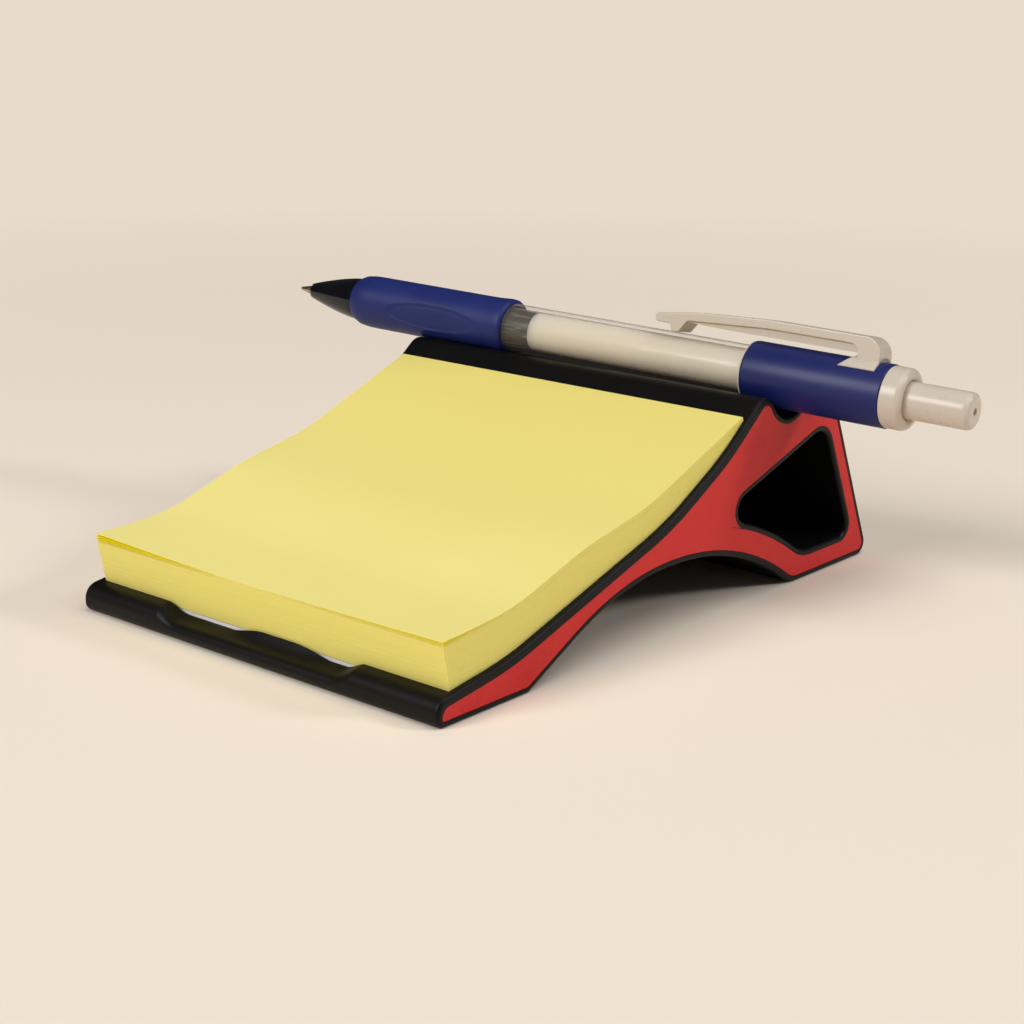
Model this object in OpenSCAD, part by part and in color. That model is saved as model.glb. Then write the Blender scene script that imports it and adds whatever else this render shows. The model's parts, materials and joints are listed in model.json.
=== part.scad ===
// Sticky note dispenser: a one-piece sloping stand with coloured side inlays,
// a pad of notes in its tray and a retractable ballpoint pen lying in its top groove.
// Y runs from the nose to the back, Z is up, and the origin is under the front foot.

/* [Stand] */
// Thickness of the walls at both sides of the notes
side_wall = 1; // [0.8:0.1:3]
// Height of the ridge in front of the pen groove
ridge_h = 34.3; // [32:0.1:38]
// Distance from the nose to the top of the ridge
ridge_y = 78.9; // [77:0.1:82]
// Radius of the ridge
ridge_r = 3.3; // [2.6:0.1:3.6]
// Slope of the face that rises to the ridge, in degrees
ridge_rise = 38.7; // [34:0.1:42]
// Steepness of the wall between the ridge and the groove, in degrees
groove_front = 60; // [52:1:66]
// Angle of the rear wall of the groove, in degrees
groove_back = 30; // [22:1:36]
// Radius of the pen groove
groove_r = 5.4; // [4.8:0.1:5.8]
// Height of the bottom of the groove
groove_h = 29.9; // [29:0.1:31]
// Distance from the nose to the middle of the groove
groove_y = 86.5; // [86:0.1:88]
// Height of the flat behind the groove
shelf_h = 32.6; // [32:0.1:34]
// Distance from the nose to the foot of the rear face
rear_y = 115.2; // [113:0.1:120]
// Lean of the rear face from the vertical, in degrees
rear_lean = 24.4; // [22:0.1:26]
// Rounding along the edges of both sides
edge_r = 0.6; // [0.3:0.05:0.8]

/* [Nose and feet] */
// Height at which the ramp line meets the front face
nose_h = 4.3; // [4:0.1:5]
// Radius of the upper edge of the nose
nose_r = 2.6; // [2:0.1:2.8]
// Length of the front foot
front_foot_len = 19.9; // [17:0.1:22]
// Distance from the nose to the front of the rear foot
rear_foot_y = 90.8; // [88:0.1:94]
// Height of the arch under the ramp
arch_h = 11.9; // [9:0.1:12.2]
// Rounding of the foot edges
foot_r = 2.2; // [1.6:0.1:2.6]

/* [Window] */
// Width of the black rim around the window
window_rim = 1; // [0.8:0.05:1.3]
// Height of the floor of the window
window_floor = 5; // [4:0.1:6]
// Thickness of the wall behind the window
window_wall = 4.4; // [3.8:0.1:6]
// Thickness of the strut over the arch, measured across it
strut_t = 4.5; // [4:0.1:5]

/* [Finger notch] */
// Half width of the notch in the lip
notch_half = 22; // [16:0.5:26]
// Depth of the notch
notch_drop = 1.5; // [0.8:0.1:1.7]
// Length of the curve at each end of the notch
notch_ramp = 3.6; // [2.5:0.1:5]
// Place of the hump inside the notch, to the right of the middle
hump_x = 2; // [-4:0.5:4]
// Half width of the hump
hump_half = 7; // [5:0.5:9]
// Height of the hump
hump_rise = 1.35; // [0.5:0.05:1.4]

/* [Side inlays] */
// Width of the black border around the inlay
border = 1; // [0.8:0.05:1.3]
// Width of that border along the ramp
ramp_border = 1.5; // [1:0.05:2]
// Thickness of the inlay
inlay_t = 0.5; // [0.3:0.05:0.6]
// How far the inlay lies below the side face
inlay_sink = 0.05; // [0:0.01:0.1]
// Gap around the inlay
inlay_gap = 0.05; // [0.02:0.01:0.1]

/* [Notes] */
// Width of the pad
pad_w = 75.8; // [68:0.1:76]
// Thickness of the block of sheets
pad_t = 7.2; // [4:0.1:7.6]
// Thickness of the backing card
card_t = 0.5; // [0.3:0.05:0.6]
// Gap between the pad and the walls of the tray
pad_gap = 0.1; // [0.05:0.05:0.4]
// Thickness of the lip in front of the pad, at its top
lip_t = 3.35; // [3:0.05:3.6]

/* [Pen] */
// Length of the pen from its point to the end of its button
pen_len = 143.2; // [138:0.1:150]
// Length of the button outside the cap
button_out = 11; // [9:0.1:13]
// Reach of the point beyond the left side of the stand
pen_overhang = 32.3; // [25:0.1:36]
// Radius of the grip where it lies on the ridge
grip_r = 4.93; // [4.7:0.01:5.1]
// Radius of the upper sleeve
sleeve_r = 5.32; // [5.1:0.01:5.5]
// Radius of the clear barrel
barrel_r = 4.37; // [4.2:0.01:4.5]
// Wall of the clear barrel
barrel_wall = 0.75; // [0.6:0.05:0.9]
// Radius of the push button
button_r = 3.15; // [2.8:0.05:3.3]
// Travel of the button past its latched place
press_travel = 1.5; // [1:0.1:2]
// Travel of the button when the point draws in
retract_travel = 4.5; // [4:0.1:5]
// Angle at which the grip leans on the ridge, above the horizontal
ridge_lean = 65.7; // [60:0.1:72]
// Distance up the rear wall of the groove at which the sleeve rests
seat_up = 1.7; // [1:0.1:2.2]
// Gap between the pen and what carries it
seat_gap = 0.08; // [0.05:0.01:0.15]
// Turn of the clip towards the back
clip_turn = 10; // [0:1:20]

/* [Pen clip] */
// Width of the clip
clip_w = 4.8; // [4:0.1:5.5]
// Thickness of the clip
clip_t = 1.5; // [1.2:0.1:1.8]
// Height of the clip's upper face above the pen's axis
clip_h = 9.1; // [8.6:0.1:9.6]
// Length of the clip from its root to its free end
clip_len = 43; // [38:0.5:46]

/* [Hidden] */

body_w = pad_w + 2 * (pad_gap + side_wall);

// Outlines are lists of corners [y, z, radius], counter-clockwise seen from the right
nose_y = -1;
bottom_nose_r = 1.5;
ramp_low = [14.6, 6.47, 60];
ramp_mid = [53.2, 18.6, 60];
ramp_high = [68.2, 26.7, 50];
arch_front = [41.5, 50];
arch_back = [73.3, 54];
shelf_r = 3.5;
rear_r = 2.2;
wide_arc = 20;
fine_step = 3;
coarse_step = 12;

function unit(v) = v / norm(v);
function cross2(a, b) = a.x * b.y - a.y * b.x;
function xy(c) = [c.x, c.y];
function dir(a) = [cos(a), sin(a)];

// Point where the line through a along u meets the line through b along v
function meet(a, u, b, v) = a + u * cross2(b - a, v) / cross2(u, v);

// The ridge is an arc between its rising face and the groove's front wall
ridge_c = [ridge_y, ridge_h - ridge_r];
groove_c = [groove_y, groove_h + groove_r];
rise_dir = dir(ridge_rise);
fall_dir = dir(-groove_front);
rise_pt = ridge_c + ridge_r * dir(ridge_rise + 90);
fall_pt = groove_c + groove_r * dir(180 + 90 - groove_front);
back_dir = dir(groove_back);
back_pt = groove_c + groove_r * dir(groove_back - 90);
rear_dir = dir(90 + rear_lean);
rear_foot = [rear_y, 0];
ridge_top = meet(rise_pt, rise_dir, fall_pt, fall_dir);
groove_low = meet(fall_pt, fall_dir, back_pt, back_dir);
shelf_front = meet(back_pt, back_dir, [0, shelf_h], [1, 0]);
shelf_back = meet(rear_foot, rear_dir, [0, shelf_h], [1, 0]);
ramp_top = meet(xy(ramp_mid), unit(xy(ramp_high) - xy(ramp_mid)), rise_pt, rise_dir);

outline = [
    [nose_y, 0, bottom_nose_r],
    [nose_y + front_foot_len, 0, foot_r],
    [arch_front[0], arch_h, arch_front[1]],
    [arch_back[0], arch_h, arch_back[1]],
    [rear_foot_y, 0, foot_r],
    [rear_y, 0, rear_r],
    [shelf_back.x, shelf_back.y, shelf_r],
    [shelf_front.x, shelf_front.y, shelf_r],
    [groove_low.x, groove_low.y, groove_r],
    [ridge_top.x, ridge_top.y, ridge_r],
    [ramp_top.x, ramp_top.y, ramp_high[2]],
    ramp_mid,
    ramp_low,
    [nose_y, nose_h, nose_r],
];
// The ramp's edges are those that start at these corners
ramp_edges = [9, 10, 11, 12];

// Corner i of a closed list, counted round
function at(list, i) = list[(i + len(list)) % len(list)];
function turns_left(c, i) =
    cross2(xy(c[i]) - xy(at(c, i - 1)), xy(at(c, i + 1)) - xy(c[i])) > 0;

// Moves every edge of a closed outline inwards by its own distance
function inset(c, d) = [
    for (i = [0:len(c) - 1])
        let (a = xy(at(c, i - 1)), b = xy(c[i]), e = xy(at(c, i + 1)),
             u = unit(b - a), v = unit(e - b),
             p = b + at(d, i - 1) * [-u.y, u.x],
             q = b + d[i] * [-v.y, v.x],
             m = meet(p, u, q, v),
             r = turns_left(c, i) ? max(c[i][2] - d[i], 0.2) : c[i][2] + d[i])
        [m.x, m.y, r]
];
function same(c, d) = [for (i = [0:len(c) - 1]) d];

// Arc that rounds the corner b between a and e
function arc_points(a, b, e, r, step) =
    let (u = unit(a - b), v = unit(e - b),
         half = acos(u * v) / 2,
         mid = b + unit(u + v) * r / sin(half),
         first = b + u * r / tan(half) - mid,
         last = b + v * r / tan(half) - mid,
         turn = 180 - 2 * half,
         way = cross2(first, last) > 0 ? 1 : -1,
         n = max(2, ceil(turn / step)),
         start = atan2(first.y, first.x))
    [for (k = [0:n]) mid + r * dir(start + way * turn * k / n)];

// Points of a closed outline; sizes holds the radii that set how fine each arc is
function rounded(c, sizes) = [
    for (i = [0:len(c) - 1])
        each arc_points(xy(at(c, i - 1)), xy(c[i]), xy(at(c, i + 1)), c[i][2],
                        sizes[i][2] > wide_arc ? fine_step : coarse_step)
];

edge_steps = 3;

// Middle of the arc that rounds the corner b between a and e
function arc_mid(a, b, e, r) =
    let (u = unit(a - b), v = unit(e - b), half = acos(u * v) / 2)
    b + unit(u + v) * r / sin(half);

// Window: its rear edge follows the rear face, its lower edge is concentric with the arch
window_slope = 17.6;
window_top_pt = [96.5, 25.8];
bend_from = 14.15;
bend_to = 34.7;
arch_c = arc_mid([arch_front[0], arch_h], [arch_back[0], arch_h], [rear_foot_y, 0], arch_back[1]);
bend_r = arch_back[1] + strut_t;
window_bend = arch_c + bend_r / cos((bend_to - bend_from) / 2) * dir(90 - (bend_from + bend_to) / 2);
window_rear_pt = rear_foot - window_wall * dir(rear_lean);
window_low = meet([0, window_floor], [1, 0], window_bend, dir(-bend_to));
window_back = meet([0, window_floor], [1, 0], window_rear_pt, rear_dir);
window_crest = meet(window_top_pt, dir(window_slope), window_rear_pt, rear_dir);
window_tip = meet(window_top_pt, dir(window_slope), window_bend, dir(180 - bend_from));
window = [
    [window_low.x, window_low.y, 7.5],
    [window_back.x, window_back.y, 1.9],
    [window_crest.x, window_crest.y, 3.7],
    [window_tip.x, window_tip.y, 1.9],
    [window_bend.x, window_bend.y, bend_r],
];

// Top of the pad as [y, z, radius], from its front edge to its rear edge
pad_line = [[1.3, 11.9, 0], [16.3, 13.4, 50], [32.7, 18.8, 45], [48.6, 22, 45], [73.96, 31.9, 0]];
pad_foot_y = 2.7;
tray_w = pad_w + 2 * pad_gap;
lip_y = nose_y + lip_t;

// The pad's top line moved down by d, across itself
function pad_curve(d) =
    let (n = len(pad_line) - 1,
         steps = [for (i = [0:n - 1]) unit(xy(pad_line[i + 1]) - xy(pad_line[i]))],
         moved = [for (i = [0:n])
             i == 0 ? xy(pad_line[0]) + d * [steps[0].y, -steps[0].x] :
             i == n ? xy(pad_line[n]) + d * [steps[n - 1].y, -steps[n - 1].x] :
             meet(xy(pad_line[i - 1]) + d * [steps[i - 1].y, -steps[i - 1].x], steps[i - 1],
                  xy(pad_line[i]) + d * [steps[i].y, -steps[i].x], steps[i])])
    [moved[0],
     for (i = [1:n - 1])
         each arc_points(moved[i - 1], moved[i], moved[i + 1],
                         pad_line[i][2] + d * sign(cross2(steps[i - 1], steps[i])), fine_step),
     moved[n]];

// The same curve with its first point moved along its line to a given y
function starting_at(curve, y) =
    [meet(curve[0], curve[1] - curve[0], [y, 0], [0, 1]), for (i = [1:len(curve) - 1]) curve[i]];

front_foot_mid = nose_y + front_foot_len / 2;

// Stand

// Everything is drawn from the nose, then moved so that the origin is under the front foot
module on_foot() {
    translate([0, -front_foot_mid, 0])
        children();
}

// A profile in the YZ plane, spread evenly across the width
module across(w) {
    rotate([90, 0, 90])
        linear_extrude(height = w, center = true)
            children();
}

// Two triangles for each four-sided face
function split(quads) = [for (f = quads) each [[f[0], f[1], f[2]], [f[0], f[2], f[3]]]];

// Closed ring that follows an outline with a section of points [x, inset]
module edge_ring(corners, section) {
    loops = [for (p = section) rounded(inset(corners, same(corners, p[1])), corners)];
    n = len(loops[0]);
    m = len(section);
    pts = [for (k = [0:m - 1]) for (p = loops[k]) [section[k][0], p.x, p.y]];
    quads = [for (k = [0:m - 1]) for (i = [0:n - 1])
        let (j = (i + 1) % n, l = (k + 1) % m)
        [k * n + i, k * n + j, l * n + j, l * n + i]];
    polyhedron(points = pts, faces = split(quads));
}

// Removes the sharp edge along an outline: way is 1 for an outer edge, -1 for a hole
module edge_cutter(corners, way) {
    arc = [for (k = [0:edge_steps])
        let (a = 90 * k / edge_steps)
        [body_w / 2 - edge_r * (1 - sin(a)), way * edge_r * (1 - cos(a))]];
    beyond = [[body_w / 2 + 1, way * edge_r], [body_w / 2 + 1, -way], [body_w / 2 - edge_r, -way]];
    whole = concat(arc, beyond);
    for (side = [0, 1])
        mirror([side, 0, 0])
            edge_ring(corners, way > 0 ? whole : [for (k = [len(whole) - 1:-1:0]) whole[k]]);
}

module body_slab() {
    difference() {
        across(body_w)
            polygon(rounded(outline, outline));
        edge_cutter(outline, 1);
        across(body_w + 2)
            polygon(rounded(window, window));
        edge_cutter(window, -1);
    }
}

// Distance of each edge of the inlay's field from the outline
function inlay_edges(extra) = [for (i = [0:len(outline) - 1])
    (len(search(i, ramp_edges)) > 0 ? ramp_border : border) + extra];

module inlay_field(extra) {
    difference() {
        polygon(rounded(inset(outline, inlay_edges(extra)), outline));
        polygon(rounded(inset(window, same(window, -window_rim - extra)), window));
    }
}

module tray_cutter() {
    bed = starting_at(pad_curve(pad_t + card_t), lip_y);
    last = bed[len(bed) - 1];
    rear_up = unit(xy(pad_line[len(pad_line) - 1]) - last);
    stop = last + 3 * pad_gap * [rear_up.y, -rear_up.x];
    across(tray_w)
        polygon(concat(bed, [stop, stop + 2 * ridge_h * rear_up, [lip_y, 2 * ridge_h]]));
}

// Height of the nose's upper surface: its rounding, then the line of the ramp
ramp_slope = atan2(ramp_low[1] - nose_h, ramp_low[0] - nose_y);
function ramp_z(y) = nose_h + (y - nose_y) * tan(ramp_slope);
nose_c = [nose_y + nose_r, ramp_z(nose_y + nose_r) - nose_r / cos(ramp_slope)];
function nose_z(y) = y < nose_c.x - nose_r * sin(ramp_slope) ?
    nose_c.y + sqrt(max(nose_r * nose_r - pow(y - nose_c.x, 2), 0)) : ramp_z(y);

// Floor of the finger notch: the nose lowered, with a hump inside
notch_lift = 0.2;
function smooth(t) = let (s = min(max(t, 0), 1)) s * s * (3 - 2 * s);
function notch_z(x, y) =
    let (drop = (notch_drop + notch_lift) * smooth((notch_half - abs(x)) / notch_ramp) - notch_lift,
         hump = hump_rise * smooth(1 - abs(x - hump_x) / hump_half) * smooth((y - nose_y) / lip_t))
    nose_z(max(y, nose_y)) - drop + hump;

module notch_cutter() {
    top = nose_h + 3;
    rows = 8;
    xs = [for (x = [-notch_half - 1:1:notch_half + 1]) x];
    ys = concat([nose_y - 1], [for (k = [0:rows]) nose_y + (lip_t + 0.01) * (1 - cos(90 * k / rows))]);
    nx = len(xs);
    ny = len(ys);
    low = [for (x = xs) for (y = ys) [x, y, notch_z(x, y)]];
    high = [for (x = xs) for (y = ys) [x, y, top]];
    n = nx * ny;
    far = (nx - 1) * ny;
    floor_quads = [for (i = [0:nx - 2]) for (j = [0:ny - 2])
        [i * ny + j, (i + 1) * ny + j, (i + 1) * ny + j + 1, i * ny + j + 1]];
    top_quads = [for (f = floor_quads) [for (k = [3:-1:0]) f[k] + n]];
    front = [for (i = [0:nx - 2]) [i * ny, i * ny + n, (i + 1) * ny + n, (i + 1) * ny]];
    back = [for (i = [0:nx - 2])
        [(i + 1) * ny + ny - 1, (i + 1) * ny + ny - 1 + n, i * ny + ny - 1 + n, i * ny + ny - 1]];
    left = [for (j = [0:ny - 2]) [j + 1, j + 1 + n, j + n, j]];
    right = [for (j = [0:ny - 2]) [far + j, far + j + n, far + j + 1 + n, far + j + 1]];
    polyhedron(points = concat(low, high),
               faces = split(concat(floor_quads, top_quads, front, back, left, right)));
}

module frame() {
    pocket = inlay_t + inlay_sink;
    color([0.045, 0.043, 0.042])
        on_foot()
            difference() {
                body_slab();
                tray_cutter();
                notch_cutter();
                for (side = [-1, 1])
                    translate([side * (body_w / 2 - pocket / 2 + 1), 0, 0])
                        across(pocket + 2)
                            inlay_field(0);
            }
}

module inlay(side) {
    color([0.75, 0.12, 0.12])
        on_foot()
            translate([side * (body_w / 2 - inlay_sink - inlay_t / 2), 0, 0])
                across(inlay_t)
                    inlay_field(inlay_gap);
}

module inlay_left() {
    inlay(-1);
}

module inlay_right() {
    inlay(1);
}

// Notes

// A layer between two depths below the pad's top, with its front edge at two places
module layer(upper, lower, front_top, front_low) {
    top = starting_at(pad_curve(upper), front_top);
    under = starting_at(pad_curve(lower), front_low);
    across(pad_w)
        polygon(concat(top, [for (i = [len(under) - 1:-1:0]) under[i]]));
}

module note_pad() {
    color([0.93, 0.85, 0.42])
        on_foot()
            layer(0, pad_t, pad_line[0][0], pad_foot_y);
}

module backing_card() {
    color([0.93, 0.92, 0.9])
        on_foot()
            layer(pad_t, pad_t + card_t, pad_foot_y, pad_foot_y);
}

// Pen

// The axis passes over the ridge at the left side and over the groove at the right side
pen_left = ridge_c + (ridge_r + grip_r + seat_gap) * dir(ridge_lean);
pen_right = back_pt + seat_up * back_dir + (sleeve_r + seat_gap) * dir(groove_back + 90);
pen_yaw = atan2(pen_right.x - pen_left.x, body_w);
pen_tilt = atan2(pen_left.y - pen_right.y, norm([body_w, pen_right.x - pen_left.x]));
pen_way = [cos(pen_tilt) * cos(pen_yaw), cos(pen_tilt) * sin(pen_yaw), -sin(pen_tilt)];
pen_point = [-body_w / 2, pen_left.x, pen_left.y] - pen_overhang * pen_way;

// Stations along the pen, from its point
cone_end = 2.4;
nose_front = 3.3;
spring_seat = 6;
nose_end = 15.2;
nose_tail = 4;
grip_end = 53.7;
tube_front = 57.4;
cap_len = 4.4;
sleeve_len = 25.4;
cap_end = pen_len - button_out;
sleeve_end = cap_end - cap_len;
sleeve_front = sleeve_end - sleeve_len;
barrel_end = sleeve_end - 3;
fit = 0.03;
slide_fit = 0.1;

// Local frame: +X runs from the point to the button, +Z is the pen's upper side
module on_pen() {
    on_foot()
        translate(pen_point)
            rotate([0, pen_tilt, pen_yaw])
                children();
}

// A turned solid from points [station, radius]
module turned(profile) {
    rotate([0, 90, 0])
        rotate_extrude($fn = 48)
            polygon([for (p = profile) [p[1], p[0]]]);
}

core_r = barrel_r - 0.42;
core_bore = core_r - 0.62;
bore_r = barrel_r - barrel_wall;
tip_r = 0.8;
tip_bore = 0.9;
ink_r = bore_r - 0.35;

// A tail behind the cone fits into the barrel, and a shoulder inside carries the spring
module pen_nose_cone() {
    front_r = 1.5;
    tail_r = core_bore - fit;
    tail_bore = tail_r - 0.65;
    spring_bore = 1.5;
    color([0.03, 0.03, 0.05])
        on_pen()
            turned([[nose_front, tip_bore], [nose_front, front_r - 0.3], [nose_front + 0.25, front_r],
                    [nose_front + 3.2, 2.35], [nose_front + 6.7, 3.15], [nose_front + 9.7, 3.72],
                    [nose_end, core_r + fit], [nose_end, tail_r], [nose_end + nose_tail, tail_r],
                    [nose_end + nose_tail, tail_bore], [nose_end, tail_bore], [nose_end - 3.2, tail_bore - 0.05],
                    [spring_seat + 2, spring_bore + 0.4], [spring_seat, spring_bore],
                    [spring_seat, tip_bore]]);
}

module pen_grip() {
    oval_half = 11;
    oval_depth = 0.5;
    oval_mid = 36;
    oval_r = oval_half * oval_half / (2 * oval_depth);
    color([0.1, 0.14, 0.4])
        on_pen()
            difference() {
                turned([[nose_end + 0.02, core_r + fit], [nose_end + 0.02, 4.1], [nose_end + 0.4, 4.35],
                        [nose_end + 1.2, 4.7], [nose_end + 2.6, grip_r - 0.05], [22, grip_r],
                        [44, grip_r], [49, grip_r + 0.1], [grip_end - 1.2, grip_r + 0.15],
                        [grip_end - 0.4, grip_r + 0.1], [grip_end, grip_r - 0.2], [grip_end, core_r + fit]]);
                for (side = [0, 1])
                    rotate([-5 + 180 * side, 0, 0])
                        translate([oval_mid, -(grip_r - oval_depth + oval_r), -6])
                            cylinder(r = oval_r, h = 12, $fn = 180);
            }
}

module pen_barrel() {
    color([0.85, 0.87, 0.9])
        on_pen()
            turned([[nose_end + 0.02, core_bore], [nose_end + 0.02, core_r], [grip_end + 0.1, core_r],
                    [grip_end + 0.1, barrel_r - 0.15], [grip_end + 0.3, barrel_r], [barrel_end, barrel_r],
                    [barrel_end, bore_r], [nose_end + nose_tail + 1, bore_r],
                    [nose_end + nose_tail + 1, core_bore]]);
}

cap_tube_r = sleeve_r - 0.55;
root_back = sleeve_end - 2;
root_front = root_back - 7.6;
root_half = 2.9;

module pen_upper_sleeve() {
    slot_gap = 0.05;
    color([0.08, 0.13, 0.42])
        on_pen()
            difference() {
                turned([[sleeve_front, barrel_r + fit], [sleeve_front, sleeve_r - 0.2],
                        [sleeve_front + 0.2, sleeve_r], [sleeve_end, sleeve_r], [sleeve_end, cap_tube_r],
                        [sleeve_front + 12, cap_tube_r], [sleeve_front + 12, barrel_r + fit]]);
                rotate([-clip_turn, 0, 0])
                    translate([root_front - slot_gap, -root_half - slot_gap, 0])
                        cube([root_back - root_front + 2 * slot_gap, 2 * (root_half + slot_gap), 10]);
            }
}

// Cap, clip root, clip and its nub are one moulding
module pen_clip_cap() {
    free_end = root_back - clip_len;
    top = clip_h;
    color([0.9, 0.88, 0.85])
        on_pen() {
            turned([[sleeve_front + 13, barrel_r + fit], [sleeve_front + 13, cap_tube_r - fit],
                    [sleeve_end + fit, cap_tube_r - fit], [sleeve_end + fit, 4.95], [cap_end - 1.6, 4.85],
                    [cap_end - 0.6, 4.45], [cap_end, 3.75], [cap_end, button_r + slide_fit],
                    [sleeve_end, button_r + slide_fit], [sleeve_end, 4], [barrel_end + 0.05, 4],
                    [barrel_end + 0.05, barrel_r + fit]]);
            rotate([-clip_turn, 0, 0]) {
                difference() {
                    translate([root_front, -root_half, 0])
                        cube([root_back - root_front, 2 * root_half, sleeve_r + 0.1]);
                    rotate([0, 90, 0])
                        cylinder(r = cap_tube_r - 0.1, h = 200, $fn = 48);
                }
                clip_body(free_end, top);
            }
        }
}

// Side shape of the clip, spread over its width, with a narrower underside
module clip_body(free_end, top) {
    side = [[root_back - 0.6, sleeve_r - 0.5], [root_back, sleeve_r + 0.6], [root_back - 0.4, top - 2],
            [root_back - 1.6, top - 0.6], [root_back - 4, top], [free_end + 22, top], [free_end + 8, top - 0.75],
            [free_end + 0.8, top - 1.75], [free_end, top - 2.2], [free_end, top - 2.9],
            [free_end + 0.6, top - 3.3], [free_end + 3, top - 3.4],
            [free_end + 3.6, barrel_r + 0.12], [free_end + 5, barrel_r + 0.1],
            [free_end + 6.6, top - 0.95 - clip_t], [free_end + 22, top - clip_t],
            [root_front + 1.2, top - clip_t], [root_front, top - clip_t - 0.6],
            [root_front + 0.3, sleeve_r - 0.5]];
    rotate([90, 0, 0])
        linear_extrude(height = clip_w, center = true)
            polygon(side);
}

cam_end = sleeve_end - 9.4;
cam_front = cam_end - 6.4;
flange_end = sleeve_end - retract_travel - slide_fit;
cam_r = 3.3;
stem_r = 2.4;

module pen_push_button() {
    flange_front = flange_end - 1.3;
    end_cut = 0.9;
    hole_r = 0.55;
    hole_depth = 3;
    color([0.9, 0.88, 0.85])
        on_pen()
            difference() {
                turned([[cam_end + slide_fit, 0], [cam_end + slide_fit, stem_r], [flange_front, stem_r],
                        [flange_front, bore_r - slide_fit], [flange_end, bore_r - slide_fit],
                        [flange_end, button_r], [pen_len - end_cut, button_r],
                        [pen_len - end_cut / 3, button_r - end_cut / 3], [pen_len, button_r - end_cut],
                        [pen_len, 0]]);
                translate([pen_len - hole_depth, 0, 0])
                    rotate([0, 90, 0])
                        cylinder(r = hole_r, h = hole_depth + 1, $fn = 24);
            }
}

module pen_cam() {
    teeth = 6;
    slot = 0.7;
    color([0.35, 0.4, 0.5])
        on_pen()
            difference() {
                turned([[cam_front, 0], [cam_front, cam_r], [cam_end - 1.4, cam_r], [cam_end, stem_r],
                        [cam_end, 0]]);
                for (k = [0:teeth - 1])
                    rotate([360 / teeth * k, 0, 0])
                        translate([cam_front + 2.4, -slot / 2, cam_r - 0.6])
                            cube([5, slot, 2]);
            }
}

module pen_ink_tube() {
    color([0.88, 0.88, 0.86])
        on_pen()
            turned([[tube_front, 0], [tube_front, ink_r - 0.2], [tube_front + 0.2, ink_r],
                    [cam_front - 0.05, ink_r], [cam_front - 0.05, 0]]);
}

// The plug stays behind the nose cone's tail when the button is pressed
plug_front = nose_end + nose_tail + 3.3 + press_travel;

module pen_refill_plug() {
    plug_r = 1.9;
    swell_from = tube_front - 8;
    swell_to = tube_front - 6;
    end = tube_front - 0.02;
    color([0.05, 0.05, 0.07])
        on_pen()
            turned([[plug_front, 0], [plug_front, plug_r - 0.3], [plug_front + 1, plug_r], [swell_from, plug_r],
                    [swell_to, ink_r - 0.5], [end, ink_r - 0.3], [end, 0]]);
}

module pen_tip() {
    color([0.75, 0.72, 0.65])
        on_pen()
            turned([[0.06, 0], [0.12, 0.22], [0.35, 0.36], [cone_end, tip_r], [plug_front - 0.02, tip_r],
                    [plug_front - 0.02, 0]]);
}

// Compression spring round the tip, from the nose's inner shoulder to the refill plug
module pen_spring() {
    wire = 0.16;
    coil_r = 1.3;
    turns = 8;
    per_turn = 10;
    sides = 5;
    start = spring_seat + 0.2 + wire;
    end = plug_front - 0.1 - wire;
    n = turns * per_turn;
    rings = [for (i = [0:n])
        let (a = 360 * i / per_turn, x = start + (end - start) * i / n)
        [for (k = [0:sides - 1])
            let (b = 360 * k / sides, r = coil_r + wire * cos(b))
            [x + wire * sin(b), r * cos(a), r * sin(a)]]];
    walls = [for (i = [0:n - 1]) for (k = [0:sides - 1])
        let (m = (k + 1) % sides)
        [i * sides + k, (i + 1) * sides + k, (i + 1) * sides + m, i * sides + m]];
    low_cap = [for (k = [0:sides - 1]) k];
    high_cap = [for (k = [sides - 1:-1:0]) n * sides + k];
    color([0.7, 0.7, 0.72])
        on_pen()
            polyhedron(points = [for (ring = rings) each ring],
                       faces = concat(split(walls), [low_cap], [high_cap]));
}

frame();
inlay_left();
inlay_right();
note_pad();
backing_card();
pen_nose_cone();
pen_grip();
pen_barrel();
pen_upper_sleeve();
pen_clip_cap();
pen_push_button();
pen_cam();
pen_ink_tube();
pen_refill_plug();
pen_tip();
pen_spring();
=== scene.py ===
import json
import math

import bmesh
import bpy
import numpy as np
from mathutils import Matrix, Vector


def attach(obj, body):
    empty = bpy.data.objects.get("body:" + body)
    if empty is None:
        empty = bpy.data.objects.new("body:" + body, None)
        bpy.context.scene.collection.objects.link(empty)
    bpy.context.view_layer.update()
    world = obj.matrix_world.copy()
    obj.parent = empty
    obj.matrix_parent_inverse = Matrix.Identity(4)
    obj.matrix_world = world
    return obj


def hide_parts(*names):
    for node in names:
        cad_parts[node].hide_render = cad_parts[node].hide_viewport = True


bl_info = {
    "name": "Sticky note dispenser",
    "version": (1, 0, 0),
    "blender": (4, 5, 0),
    "location": "View3D > Sidebar > Notes",
    "description": "Builds a sloping note dispenser with its pad and a ballpoint pen",
    "category": "Object",
}

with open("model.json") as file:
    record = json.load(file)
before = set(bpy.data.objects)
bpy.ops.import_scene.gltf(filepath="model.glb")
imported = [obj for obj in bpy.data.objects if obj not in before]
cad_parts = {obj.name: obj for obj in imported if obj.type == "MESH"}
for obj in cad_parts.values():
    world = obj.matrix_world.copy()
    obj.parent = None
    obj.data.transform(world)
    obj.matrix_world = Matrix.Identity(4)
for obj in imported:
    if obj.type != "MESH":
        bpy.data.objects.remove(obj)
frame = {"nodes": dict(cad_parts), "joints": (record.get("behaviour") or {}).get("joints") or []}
STAND = "stand"
BUTTON = "push_button"
MM = 0.001


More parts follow.
